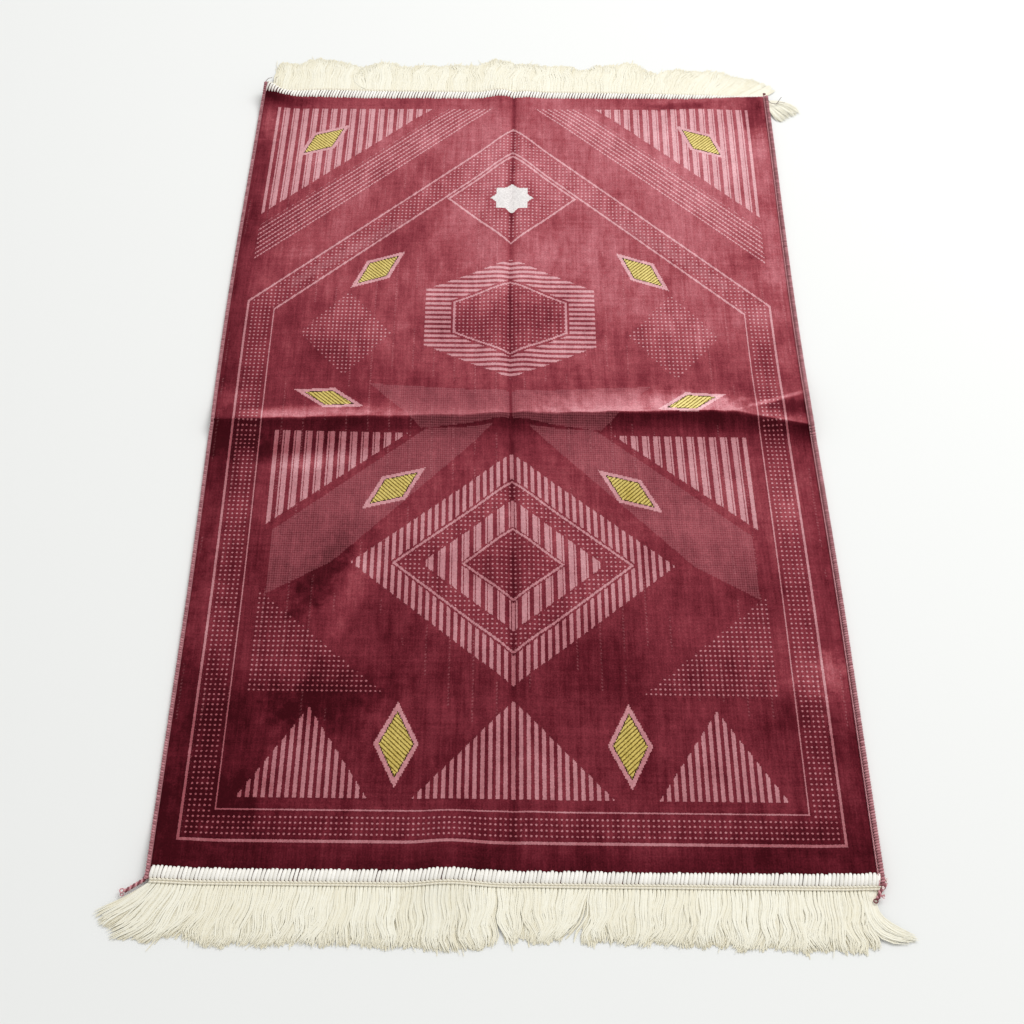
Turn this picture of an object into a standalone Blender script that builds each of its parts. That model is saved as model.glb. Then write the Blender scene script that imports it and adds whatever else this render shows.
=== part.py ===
"""A velvet prayer rug laid on a floor: the pile cloth, an overlocked binding with a loose thread
tail down each long side, and at each end an overlocked band and a fringe on its chain heading.

Metres. The floor is z = 0, +Y points to the head end and +X to the right of someone on the rug.
Every piece is placed by lay(), which takes a place on the flat rug, u across and v along it, to
where the rug's cloth lies: a little skewed, creased from folding, and lifted at some edges.
"""

import math
import random

import bmesh
import bpy

# The flat rug.
CLOTH_HALF_WIDTH = 0.3353
HEAD_EDGE = 0.5385
FOOT_EDGE = -0.5500
CLOTH_THICK = 0.0030
BAND_WIDTH = 0.0135  # the white overlocking at each end
BAND_THICK = 0.0034
BAND_ROUNDING = 0.0008
CHAIN_WIDTH = 0.0040  # the chain-stitched heading of the fringe
CHAIN_THICK = 0.0032
BINDING_RADIUS = 0.0021
TAIL_RADIUS = 0.0012
GAP = 0.0003  # between neighbouring pieces

# How it lies. The head half has slid to the left, and its end edge is out of square.
SWAY = 0.0045
SWAY_MIDDLE = 0.14
SWAY_HALF_LENGTH = 0.45
HEAD_SKEW = 0.024

# The crosswise crease stands up: steep towards the foot, gentle towards the head.
CREASE_V = -0.010
CREASE_SLOPE = 0.029
CREASE_BOW = 0.09
CREASE_HEIGHT = 0.0050
CREASE_EXTRA_AT_SIDES = 0.0040
CREASE_HEAD_WIDTH = 0.062
CREASE_FOOT_WIDTH = 0.024

# The lengthwise crease is a groove down to the floor between two low flanks.
GROOVE_U = -0.003
FLANK_HEIGHT = 0.0022
GROOVE_HALF_WIDTH = 0.050

# Softer lifts: middle u and v, direction in degrees from +X, half length, half width, height.
SOFT_LIFTS = (
    (-0.3353, 0.5385, -45, 0.085, 0.060, 0.0150),  # curled left corner of the head end
    (0.3353, 0.5450, 45, 0.070, 0.050, 0.0050),  # right corner of the head end
    (0.2320, 0.4990, 10, 0.070, 0.030, 0.0035),  # dent's rim near that corner
    (-0.0560, -0.5600, 90, 0.120, 0.052, 0.0080),  # hump in the foot end's edge
    (-0.3353, -0.5500, 45, 0.080, 0.050, 0.0055),  # left corner of the foot end
    (0.3353, -0.5500, -45, 0.070, 0.045, 0.0035),  # right corner of the foot end
    (-0.2020, -0.2650, 68, 0.085, 0.036, 0.0030),  # diagonal undulation
    (0.3050, 0.0200, 4, 0.075, 0.018, 0.0040),  # fork at the right end of the crosswise crease
)

# Grid lines of the cloth, closer together at the two creases.
CLOTH_COLUMNS = 32
CLOTH_ROWS = 42
COLUMN_CROWDING = 1.35
ROW_CROWDING = 1.5
BAND_COLUMNS = 34
BINDING_POINTS = 38

# The fringe: how far its locks have swept sideways at their tips, how far out they reach, and
# how late they bend. Middle u of the roots, sweep, reach, bend.
LOCKS = 84
FOOT_FLOW = (
    (-0.3353, -0.0440, 0.046, 1.1),
    (-0.3000, -0.0280, 0.050, 1.2),
    (-0.2400, -0.0170, 0.055, 1.4),
    (-0.1700, -0.0120, 0.053, 1.5),
    (-0.1000, -0.0020, 0.056, 1.6),
    (-0.0160, -0.0030, 0.057, 1.7),
    (-0.0070, 0.0060, 0.054, 1.6),
    (0.0300, -0.0020, 0.049, 1.5),
    (0.0620, -0.0120, 0.048, 1.4),
    (0.0700, -0.0060, 0.051, 1.4),
    (0.1300, -0.0110, 0.050, 1.5),
    (0.2200, -0.0070, 0.055, 1.6),
    (0.3150, -0.0010, 0.054, 1.9),
    (0.3353, 0.0290, 0.046, 3.0),
)
HEAD_FLOW = (
    (-0.3353, 0.0040, 0.050, 1.4),
    (-0.2900, -0.0020, 0.058, 1.6),
    (-0.2400, 0.0060, 0.046, 1.5),
    (-0.2000, -0.0030, 0.043, 1.5),
    (-0.1000, 0.0050, 0.046, 1.6),
    (-0.0150, 0.0000, 0.060, 1.7),
    (0.0500, 0.0060, 0.049, 1.5),
    (0.1450, 0.0080, 0.061, 1.6),
    (0.2300, 0.0160, 0.045, 1.4),
    (0.2900, 0.0290, 0.034, 1.2),
    (0.3250, 0.0300, 0.020, 1.1),
    (0.3353, 0.0300, 0.018, 1.1),
)
RING_SHARES = (0.30, 0.68, 1.0)  # of a lock's reach
RING_WIDTHS = (0.86, 0.74, 0.34)  # of the room between its neighbours
RING_THICKS = (0.0044, 0.0040, 0.0016)
LOCK_INSET = 0.0003
RAGGED = 0.10  # share by which a lock's length may differ

# The last lock of the head fringe has fallen round the corner: x, y, half width of its rings.
FALLEN_TUFT = (
    (0.3410, 0.5630, 0.0035),
    (0.3560, 0.5480, 0.0080),
    (0.3640, 0.5170, 0.0095),
)

# The loose ends of the side bindings past the foot end: x, y.
LEFT_TAIL = ((-0.3400, -0.5670), (-0.3459, -0.5702), (-0.3520, -0.5732), (-0.3572, -0.5757))
RIGHT_TAIL = ((0.3385, -0.5672), (0.3373, -0.5715), (0.3371, -0.5750), (0.3384, -0.5788))


def bump(t):
    """1 at t = 0, falling smoothly to 0 at |t| = 1 and beyond."""
    return 0.5 + 0.5 * math.cos(math.pi * t) if abs(t) < 1 else 0.0


def sway(v):
    return -SWAY * bump((v - SWAY_MIDDLE) / SWAY_HALF_LENGTH)


def crease_v(u):
    return CREASE_V + CREASE_SLOPE * u - CREASE_BOW * u * u


def crosswise_ridge(u, v):
    beyond = v - crease_v(u)
    width = CREASE_HEAD_WIDTH if beyond > 0 else CREASE_FOOT_WIDTH
    crest = CREASE_HEIGHT + CREASE_EXTRA_AT_SIDES * (abs(u) / CLOTH_HALF_WIDTH) ** 1.5
    return crest * max(0.0, 1 - abs(beyond) / width) ** 2


def lengthwise_groove(u):
    t = min(1.0, abs(u - GROOVE_U) / GROOVE_HALF_WIDTH)
    return FLANK_HEIGHT * math.sin(math.pi * t**0.6) ** 2


def soft_lifts(u, v):
    total = 0.0
    for middle_u, middle_v, direction, half_length, half_width, lift in SOFT_LIFTS:
        angle = math.radians(direction)
        across, along = u - middle_u, v - middle_v
        lengthwise = across * math.cos(angle) + along * math.sin(angle)
        sideways = along * math.cos(angle) - across * math.sin(angle)
        total += lift * bump(math.hypot(lengthwise / half_length, sideways / half_width))
    return total


def height(u, v):
    """The height of the rug's underside above the floor: 0 wherever the cloth lies flat."""
    return crosswise_ridge(u, v) + lengthwise_groove(u) + soft_lifts(u, v)


def lay(u, v, above=0.0):
    """The point of the laid rug over (u, v) on the flat one, this far above its underside."""
    skew = HEAD_SKEW * min(1.0, max(0.0, v / HEAD_EDGE))
    return u + sway(v), v + skew * u, height(u, v) + above


def crowded(s, low, middle, high, crowding):
    """Maps -1..1 to low..high with the values crowded around middle."""
    reach = high - middle if s > 0 else middle - low
    return middle + math.copysign(reach * abs(s) ** crowding, s)


def cloth_row(s, u, foot, head):
    return crowded(s, foot, crease_v(u), head, ROW_CROWDING)


def fabric(name, red, green, blue, roughness):
    material = bpy.data.materials.new(name)
    material.use_nodes = True
    shader = material.node_tree.nodes["Principled BSDF"]
    shader.inputs["Base Color"].default_value = (red, green, blue, 1)
    shader.inputs["Roughness"].default_value = roughness
    shader.inputs["Metallic"].default_value = 0.0
    return material


def add_object(name, data, material):
    data.materials.append(material)
    made = bpy.data.objects.new(name, data)
    rug.objects.link(made)
    return made


def mesh_from(bm, name):
    bmesh.ops.recalc_face_normals(bm, faces=bm.faces[:])
    mesh = bpy.data.meshes.new(name)
    bm.to_mesh(mesh)
    bm.free()
    return mesh


def laid_sheet(columns, rows, place, thick):
    """A grid laid by place(x, y), both from -1 to 1, and thickened straight up."""
    bm = bmesh.new()
    bmesh.ops.create_grid(bm, x_segments=columns, y_segments=rows, size=1)
    for vertex in bm.verts:
        vertex.co = place(vertex.co.x, vertex.co.y)
    raised = bmesh.ops.extrude_face_region(bm, geom=bm.faces[:])["geom"]
    for part in raised:
        if isinstance(part, bmesh.types.BMVert):
            part.co.z += thick
    return bm


def add_cloth():
    def place(x, y):
        u = crowded(x, -CLOTH_HALF_WIDTH, GROOVE_U, CLOTH_HALF_WIDTH, COLUMN_CROWDING)
        return lay(u, cloth_row(y, u, FOOT_EDGE, HEAD_EDGE))

    bm = laid_sheet(CLOTH_COLUMNS, CLOTH_ROWS, place, CLOTH_THICK)
    velvet = fabric("burgundy_velvet", 0.13, 0.012, 0.022, 0.85)
    return add_object("pile_cloth", mesh_from(bm, "pile_cloth"), velvet)


def add_band(name, near, outward, material):
    """The overlocked band along one end: near is the v of its inner edge."""

    def place(x, y):
        u = crowded(x, -CLOTH_HALF_WIDTH, GROOVE_U, CLOTH_HALF_WIDTH, COLUMN_CROWDING)
        return lay(u, near + outward * BAND_WIDTH * (0.5 + 0.5 * y))

    bm = laid_sheet(BAND_COLUMNS, 1, place, BAND_THICK)
    band = add_object(name, mesh_from(bm, name), material)
    rounding = band.modifiers.new("rounded edges", "BEVEL")
    rounding.width = BAND_ROUNDING
    rounding.segments = 1
    rounding.limit_method = "ANGLE"
    rounding.angle_limit = math.radians(50)  # more than any bend in the laid band
    return band


def add_binding(name, side, tail, material):
    """The overlocked binding beside one long edge, running out into its thread tail."""
    beside = side * (CLOTH_HALF_WIDTH + GAP + BINDING_RADIUS)
    edge = side * CLOTH_HALF_WIDTH
    foot = FOOT_EDGE - GAP - BAND_WIDTH
    head = HEAD_EDGE + GAP + BAND_WIDTH
    route = []
    for step in range(BINDING_POINTS):
        v = cloth_row(1 - 2 * step / (BINDING_POINTS - 1), edge, foot, head)
        x, y, z = lay(edge, v, BINDING_RADIUS)
        route.append((x + beside - edge, y, z, 1.0))
    tail_scale = TAIL_RADIUS / BINDING_RADIUS
    drop_from = route[-1][2]
    for step, (x, y) in enumerate(tail, start=1):
        share = step / len(tail)
        z = TAIL_RADIUS + (drop_from - TAIL_RADIUS) * (1 - share) ** 2
        route.append((x, y, z, tail_scale))

    curve = bpy.data.curves.new(name, "CURVE")
    curve.dimensions = "3D"
    curve.bevel_depth = BINDING_RADIUS
    curve.bevel_resolution = 2
    curve.use_fill_caps = True
    thread = curve.splines.new("POLY")
    thread.points.add(len(route) - 1)
    for point, (x, y, z, scale) in zip(thread.points, route):
        point.co = (x, y, z, 1)
        point.radius = scale
    return add_object(name, curve, material)


def flow_at(flow, u):
    """Sweep, reach and bend at u, eased between the rows of the flow table."""
    u = min(max(u, flow[0][0]), flow[-1][0])
    before, after = next(pair for pair in zip(flow, flow[1:]) if u <= pair[1][0])
    share = (u - before[0]) / (after[0] - before[0])
    share = share * share * (3 - 2 * share)
    return [a + (b - a) * share for a, b in zip(before[1:], after[1:])]


def add_fringe(name, near, outward, flow, material, tuft=()):
    """The chain heading along one end, whose inner edge is at v = near, with its locks.

    Each lock grows out of one face of the heading's outer wall, ring by ring along the flow.
    A tuft gives the rings of the last lock instead.
    """
    root_v = near + outward * CHAIN_WIDTH
    pitch = 2 * CLOTH_HALF_WIDTH / LOCKS

    def place(x, y):
        return lay(CLOTH_HALF_WIDTH * x, near + outward * CHAIN_WIDTH * (0.5 + 0.5 * y))

    bm = laid_sheet(LOCKS, 1, place, CHAIN_THICK)
    bmesh.ops.recalc_face_normals(bm, faces=bm.faces[:])
    lock = bm.faces.layers.int.new("lock")
    roots = [face for face in bm.faces if face.normal.y * outward > 0.9]
    roots.sort(key=lambda face: face.calc_center_median().x)
    for index, face in enumerate(roots):
        face[lock] = index
    bmesh.ops.inset_individual(bm, faces=roots, thickness=LOCK_INSET, use_even_offset=True)
    corners = []  # of each lock: which of its face's points are right and which are top
    for face in roots:
        middle = face.calc_center_median()
        corners.append([(v.co.x > middle.x, v.co.z > middle.z) for v in face.verts])
    uneven = random.Random(name)
    lengths = [1 - RAGGED * uneven.random() for _ in roots]

    def lock_point(index, ring, right, top):
        side = 0.5 if right else -0.5
        root = -CLOTH_HALF_WIDTH + pitch * (index + 0.5 + side * RING_WIDTHS[ring])
        sweep, reach, bend = flow_at(flow, root)
        out = reach * lengths[index] * RING_SHARES[ring]
        share = out / reach
        x, y, lift = lay(root, root_v)
        x += sweep * share**bend
        y += outward * out
        return x, y, lift * (1 - share) ** 2 + (RING_THICKS[ring] if top else 0.0)

    def tuft_point(ring, right, top):
        before = tuft[ring - 1] if ring else lay(CLOTH_HALF_WIDTH, root_v)
        after = tuft[min(ring + 1, len(tuft) - 1)]
        heading = math.atan2(after[1] - before[1], after[0] - before[0])
        x, y, half_width = tuft[ring]
        sideways = half_width if right else -half_width
        x += sideways * math.sin(heading)
        y -= sideways * math.cos(heading)
        return x, y, RING_THICKS[ring] if top else 0.0

    faces = roots
    for ring in range(len(RING_SHARES)):
        faces = bmesh.ops.extrude_discrete_faces(bm, faces=faces)["faces"]
        faces.sort(key=lambda face: face[lock])
        for index, face in enumerate(faces):
            for vertex, (right, top) in zip(face.verts, corners[index]):
                if tuft and index == len(faces) - 1:
                    vertex.co = tuft_point(ring, right, top)
                else:
                    vertex.co = lock_point(index, ring, right, top)
    return add_object(name, mesh_from(bm, name), material)


for old in list(bpy.data.objects):
    bpy.data.objects.remove(old, do_unlink=True)
rug = bpy.data.collections.new("prayer_rug")
bpy.context.scene.collection.children.link(rug)

add_cloth()
rose_thread = fabric("rose_thread", 0.30, 0.065, 0.085, 0.7)
add_binding("side_overlock_left", -1, LEFT_TAIL, rose_thread)
add_binding("side_overlock_right", 1, RIGHT_TAIL, rose_thread.copy())
white_thread = fabric("white_thread", 0.86, 0.84, 0.80, 0.75)
add_band("end_overlock_head", HEAD_EDGE + GAP, 1, white_thread)
add_band("end_overlock_foot", FOOT_EDGE - GAP, -1, white_thread.copy())
cream_yarn = fabric("cream_yarn", 0.82, 0.76, 0.62, 0.6)
head_heading = HEAD_EDGE + 2 * GAP + BAND_WIDTH
foot_heading = FOOT_EDGE - 2 * GAP - BAND_WIDTH
add_fringe("fringe_head", head_heading, 1, HEAD_FLOW, cream_yarn, FALLEN_TUFT)
add_fringe("fringe_foot", foot_heading, -1, FOOT_FLOW, cream_yarn.copy())
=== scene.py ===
"""A velvet prayer rug laid on a pale floor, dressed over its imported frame. Metres.

The sections follow the rug as it is made: the velvet is woven and cut, its long sides are
overlocked, its cut ends are overlocked, and a fringe is stitched along each end. The floor, the
light and the camera come last.
"""

import math
import random

import bpy
from mathutils import Matrix, Vector


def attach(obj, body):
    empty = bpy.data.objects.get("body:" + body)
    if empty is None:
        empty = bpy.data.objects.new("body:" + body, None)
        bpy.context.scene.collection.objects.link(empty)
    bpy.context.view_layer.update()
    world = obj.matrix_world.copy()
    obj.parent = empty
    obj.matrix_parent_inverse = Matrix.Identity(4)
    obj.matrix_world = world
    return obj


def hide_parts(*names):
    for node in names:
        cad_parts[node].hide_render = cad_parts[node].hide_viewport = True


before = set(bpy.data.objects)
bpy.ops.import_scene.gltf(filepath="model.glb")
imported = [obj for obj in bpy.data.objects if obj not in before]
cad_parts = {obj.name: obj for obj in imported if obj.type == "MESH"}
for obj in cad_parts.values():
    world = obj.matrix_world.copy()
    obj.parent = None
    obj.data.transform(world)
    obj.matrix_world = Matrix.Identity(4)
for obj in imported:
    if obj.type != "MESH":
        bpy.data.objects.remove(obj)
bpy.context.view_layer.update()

# ------------------------------------------------------------------------------------------
# The velvet. Cut polyester pile woven into a thin ground on a jacquard loom, cut to a rectangle
# and folded in four for sale. It is laid on the floor with both fold creases still in it.
# ------------------------------------------------------------------------------------------
CLOTH_HALF_WIDTH = 0.3353
HEAD_EDGE = 0.5385
FOOT_EDGE = -0.5500
CLOTH_THICK = 0.0030
PILE_ROUNDING = 0.0032  # how far in from a long edge the pile leans over it
PILE_DROP = 0.0015
PILE_DROP_LEFT = 0.4  # share of that drop on the left side
PILE_LEAN = 0.0080  # how far in from an end the pile leans out over its stitches
PILE_OVER_LEFT = 0.0010
PILE_OVER_FOOT = 0.0032
PILE_OVER_HEAD = 0.0006
PILE_SINKS_FOOT = 0.0003  # as it leans
PILE_SINKS_HEAD = 0.0006
BACK_ABOVE_FLOOR = 0.0002

# How it lies: the head half has slid to the left, and the head edge is out of square and drawn
# in. Its band slopes down at the left corner, and ever more steeply towards the right one.
SWAY = 0.0045
SWAY_MIDDLE = 0.14
SWAY_HALF_LENGTH = 0.45
HEAD_SKEW = 0.024
HEAD_DRAWN_IN = 0.0045
HEAD_DRAWN_FROM = 0.480
HEAD_BAND_LEFT = (  # u, share of the band's width that is left
    (-0.3400, 0.68),
    (-0.3060, 0.72),
    (-0.2670, 0.93),
    (-0.2400, 1.00),
    (-0.0200, 0.86),
    (0.1100, 0.77),
    (0.1900, 0.65),
    (0.2500, 0.52),
    (0.3000, 0.36),
    (0.3400, 0.30),
)
LIFT_DRAWS_IN = 0.25  # how far a lifted side edge moves in, as a share of its height

# The crosswise crease stands up, steep towards the foot and gentle towards the head. Near the
# right edge its crest forks, with a flat facet between the branches.
CREASE_V = -0.0139
CREASE_SLOPE = 0.040
CREASE_BOW = 0.045
FORK_U = 0.250
FORK_DROP = 0.26  # how steeply the lower branch turns away from the crest
FORK_SPREAD = 0.57
CREASE_HEIGHT = 0.0050
CREASE_EXTRA_AT_SIDES = 0.0040
CREASE_HEAD_WIDTH = 0.062
CREASE_FOOT_WIDTH = 0.024

# The lengthwise crease is a groove between two low flanks.
GROOVE_U = -0.003
FLANK_HEIGHT = 0.0022
FLANK_AT_FOOT = 0.25  # share of that height at the foot end, growing to all over FLANK_GROWS
FLANK_GROWS = 0.120
GROOVE_HALF_WIDTH = 0.050

# Softer lifts: middle u and v, direction in degrees from +X, half length, half width, height.
SOFT_LIFTS = (
    (-0.3353, 0.5450, -45, 0.060, 0.044, 0.0085),  # curled left corner of the head end
    (-0.3353, 0.5520, -45, 0.026, 0.020, 0.0085),
    (-0.2900, 0.5480, 0, 0.110, 0.040, 0.0026),  # the long rise towards it
    (-0.0230, 0.5450, 90, 0.050, 0.030, 0.0026),  # where the lengthwise crease meets that end
    (0.3353, 0.5330, 0, 0.120, 0.020, 0.0045),  # right corner of the head end
    (0.2320, 0.4990, 10, 0.070, 0.030, 0.0035),  # dent's rim near that corner
    (-0.0600, -0.5600, 90, 0.120, 0.048, 0.0080),  # hump in the foot end's edge
    (-0.3353, -0.5500, 45, 0.080, 0.050, 0.0055),  # left corner of the foot end
    (0.3353, -0.5500, -45, 0.070, 0.045, 0.0035),  # right corner of the foot end
    (-0.2020, -0.2650, 68, 0.085, 0.036, 0.0030),  # diagonal undulation
    (-0.0300, -0.0330, 33, 0.042, 0.011, 0.0026),  # pucker beside the crossing of the creases
    (0.0250, -0.0270, -25, 0.026, 0.009, 0.0014),
)
COLUMNS = 150
ROWS = 250
COLUMN_CROWDING = 1.35
ROW_CROWDING = 1.5
RIM_LINES = (0.0, 0.0009, 0.0022)  # grid lines at these distances from each edge


def bump(t):
    """1 at t = 0, falling smoothly to 0 at |t| = 1 and beyond."""
    return 0.5 + 0.5 * math.cos(math.pi * t) if abs(t) < 1 else 0.0


def eased(share):
    """0 up to 0 and 1 from 1 on, with a smooth rise between them."""
    share = min(1.0, max(0.0, share))
    return share * share * (3 - 2 * share)


def between(table, place):
    """The value at a place, in a straight line between the rows of a table."""
    before, after = next(pair for pair in zip(table, table[1:]) if place <= pair[1][0])
    share = (place - before[0]) / (after[0] - before[0])
    return before[1] + (after[1] - before[1]) * share


def crease_v(u):
    """Where the crosswise crease's crest runs, with the lower branch of its fork."""
    return CREASE_V + CREASE_SLOPE * u - CREASE_BOW * u * u - FORK_DROP * max(0.0, u - FORK_U)


def height(u, v):
    """The height of the rug's underside above the floor."""
    beyond = v - crease_v(u)
    if beyond > 0:
        beyond = max(0.0, beyond - FORK_SPREAD * max(0.0, u - FORK_U))
    width = CREASE_HEAD_WIDTH if beyond > 0 else CREASE_FOOT_WIDTH
    crest = CREASE_HEIGHT + CREASE_EXTRA_AT_SIDES * (abs(u) / CLOTH_HALF_WIDTH) ** 1.5
    total = crest * max(0.0, 1 - abs(beyond) / width) ** 2
    t = min(1.0, abs(u - GROOVE_U) / GROOVE_HALF_WIDTH)
    grown = FLANK_AT_FOOT + (1 - FLANK_AT_FOOT) * eased((v - FOOT_EDGE) / FLANK_GROWS)
    total += FLANK_HEIGHT * grown * math.sin(math.pi * t**0.6) ** 2
    for middle_u, middle_v, direction, half_length, half_width, lift in SOFT_LIFTS:
        angle = math.radians(direction)
        across, along = u - middle_u, v - middle_v
        lengthwise = across * math.cos(angle) + along * math.sin(angle)
        sideways = along * math.cos(angle) - across * math.sin(angle)
        total += lift * bump(math.hypot(lengthwise / half_length, sideways / half_width))
    return total


def lay(u, v, above=0.0):
    """The point of the laid rug over (u, v) on the flat one, this far above its underside."""
    lift = height(u, v)
    skew = HEAD_SKEW * min(1.0, max(0.0, v / HEAD_EDGE))
    sway = -SWAY * bump((v - SWAY_MIDDLE) / SWAY_HALF_LENGTH)
    sway -= LIFT_DRAWS_IN * lift * (u / CLOTH_HALF_WIDTH) ** 3
    drawn = HEAD_DRAWN_IN * eased((v - HEAD_DRAWN_FROM) / (HEAD_EDGE - HEAD_DRAWN_FROM))
    drawn += (1 - between(HEAD_BAND_LEFT, u)) * max(0.0, v - HEAD_EDGE)
    return Vector((u + sway, v - drawn + skew * u, lift + above))


def grid_lines(count, low, middle, high, crowding):
    """Places from low to high, close together at middle and at the two edges."""
    inner_low, inner_high = low + 2 * RIM_LINES[-1], high - 2 * RIM_LINES[-1]
    inner = []
    for step in range(count):
        s = 2 * step / (count - 1) - 1
        reach = inner_high - middle if s > 0 else middle - inner_low
        inner.append(middle + math.copysign(reach * abs(s) ** crowding, s))
    rim_low = [low + distance for distance in RIM_LINES]
    rim_high = [high - distance for distance in reversed(RIM_LINES)]
    return rim_low + inner + rim_high


def mesh_piece(name, vertices, faces, tones=None):
    """A smooth-shaded mesh object. Tones give each point's lightness for its material."""
    mesh = bpy.data.meshes.new(name)
    mesh.from_pydata(vertices, [], faces)
    mesh.polygons.foreach_set("use_smooth", [True] * len(faces))
    if tones:
        tone = mesh.attributes.new("tone", "FLOAT", "POINT")
        tone.data.foreach_set("value", tones)
    mesh.update()
    piece = bpy.data.objects.new(name, mesh)
    bpy.context.scene.collection.objects.link(piece)
    return piece


columns = grid_lines(COLUMNS, -CLOTH_HALF_WIDTH, GROOVE_U, CLOTH_HALF_WIDTH, COLUMN_CROWDING)
flat_places = []
for u in columns:
    rows = grid_lines(ROWS, FOOT_EDGE, crease_v(u), HEAD_EDGE, ROW_CROWDING)
    flat_places += [(u, v) for v in rows]
row_count = ROWS + 2 * len(RIM_LINES)
column_count = len(columns)

top, under = [], []
for u, v in flat_places:
    side_rounding = max(0.0, 1 - (CLOTH_HALF_WIDTH - abs(u)) / PILE_ROUNDING) ** 2
    near_foot = max(0.0, 1 - (v - FOOT_EDGE) / PILE_LEAN) ** 2
    near_head = max(0.0, 1 - (HEAD_EDGE - v) / PILE_LEAN) ** 2
    outward = near_head * PILE_OVER_HEAD - near_foot * PILE_OVER_FOOT
    rise = -PILE_SINKS_FOOT * near_foot - PILE_SINKS_HEAD * near_head
    fall = PILE_DROP * side_rounding * (PILE_DROP_LEFT if u < 0 else 1.0)
    place = lay(u, v, CLOTH_THICK - fall + rise)
    place.x -= PILE_OVER_LEFT * side_rounding if u < 0 else 0.0
    place.y += outward
    top.append(place)
    under.append(lay(u, v, BACK_ABOVE_FLOOR))

faces = []
below = len(top)
for column in range(column_count - 1):
    for row in range(row_count - 1):
        a = column * row_count + row
        b = a + row_count
        faces.append((a, b, b + 1, a + 1))
        faces.append((below + a + 1, below + b + 1, below + b, below + a))
rim = [column * row_count for column in range(column_count)]
rim += [(column_count - 1) * row_count + row for row in range(1, row_count)]
rim += [column * row_count + row_count - 1 for column in range(column_count - 2, -1, -1)]
rim += list(range(row_count - 2, 0, -1))
for a, b in zip(rim, rim[1:] + rim[:1]):
    faces.append((a, below + a, below + b, b))
cloth = mesh_piece("pile_cloth_velvet", top + under, faces)

flat_rug = cloth.data.uv_layers.new(name="flat_rug")
from_fold = cloth.data.attributes.new("from_fold", "FLOAT", "POINT")
from_fold.data.foreach_set("value", [v - crease_v(u) for u, v in flat_places] * 2)
corners = []
for loop in cloth.data.loops:
    corners += flat_places[loop.vertex_index % below]
flat_rug.data.foreach_set("uv", corners)


def paint(colour):
    """An sRGB hex colour as linear RGBA."""
    channels = [int(colour[at : at + 2], 16) / 255 for at in (1, 3, 5)]
    linear = [c / 12.92 if c <= 0.04045 else ((c + 0.055) / 1.055) ** 2.4 for c in channels]
    return (*linear, 1.0)


def add_node(tree, kind, inputs=None, **settings):
    """A shader node with its settings, each input linked to a node or socket or set to a value."""
    node = tree.nodes.new("ShaderNode" + kind)
    for name, value in settings.items():
        setattr(node, name, value)
    for place, value in (inputs or {}).items():
        if isinstance(value, bpy.types.Node):
            value = value.outputs[0]
        if isinstance(value, bpy.types.NodeSocket):
            tree.links.new(value, node.inputs[place])
        else:
            node.inputs[place].default_value = value
    return node


# Cut polyester pile, woven and then brushed: matt and soft at grazing angles. Where the pile leans
# away from or towards the light it is darker or paler. That light and shade is painted into its
# colour, as is the shade of its creases and edges. Each tuft has one colour, so diagonal edges are
# stepped.
velvet = bpy.data.materials.new("cut_pile_velvet")
velvet.use_nodes = True
weave = velvet.node_tree

TUFT = (0.00123, 0.00145, 1.0)  # the size of one, across and along
FUZZ = 0.0011  # how far single tufts stray over a figure's edge
GRAIN = (0.0015, 0.0015, 1.0)  # the spots that each take up the dye a little differently

flat = add_node(weave, "UVMap", uv_map="flat_rug")
stray = add_node(
    weave, "TexNoise", {"Vector": flat, "Scale": 620.0, "Detail": 1.0}, noise_dimensions="2D"
)
stray = add_node(
    weave,
    "VectorMath",
    {0: stray.outputs["Color"], 1: (FUZZ, FUZZ, 0), 2: flat},
    operation="MULTIPLY_ADD",
)
middle = (-GROOVE_U - FUZZ / 2, -FUZZ / 2, 0)
stray = add_node(weave, "VectorMath", {0: stray, 1: middle})
stray = add_node(weave, "SeparateXYZ", {0: stray})
sideways = add_node(weave, "Math", {0: stray}, operation="ABSOLUTE")
along = stray.outputs["Y"]
loose = add_node(weave, "CombineXYZ", {0: sideways, 1: along, 2: 1.0})
tuft = add_node(weave, "VectorMath", {0: loose, 1: TUFT}, operation="SNAP")


def combined(fields, how):
    """One field out of several, by MAXIMUM for what they share or MINIMUM for all of them."""
    result = fields[0]
    for field in fields[1:]:
        result = add_node(weave, "Math", {0: result, 1: field}, operation=how)
    return result


def beyond_line(place, start, end, inner):
    """How far place is past the line from start to end, on the side away from the point inner."""
    (x0, y0), (x1, y1) = start, end
    length = math.hypot(x1 - x0, y1 - y0)
    across, up = (y1 - y0) / length, (x0 - x1) / length
    reach = across * x0 + up * y0
    if across * inner[0] + up * inner[1] > reach:
        across, up, reach = -across, -up, -reach
    side = (across, up, -reach)
    past = add_node(weave, "VectorMath", {0: place, 1: side}, operation="DOT_PRODUCT")
    return past.outputs["Value"]


def figure(points):
    """The distance outside a convex figure with these corners, negative within it."""
    inner = [sum(axis) / len(points) for axis in zip(*points)]
    sides = zip(points, points[1:] + points[:1])
    return combined([beyond_line(tuft, start, end, inner) for start, end in sides], "MAXIMUM")


def lozenge(middle_p, middle_v, half_length, half_width, direction):
    """The corners of a lozenge whose length lies in this direction, in degrees."""
    angle = math.radians(direction)
    points = []
    for length, width in ((half_length, 0), (0, half_width), (-half_length, 0), (0, -half_width)):
        p = middle_p + length * math.cos(angle) - width * math.sin(angle)
        v = middle_v + length * math.sin(angle) + width * math.cos(angle)
        points.append((p, v))
    return points


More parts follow.
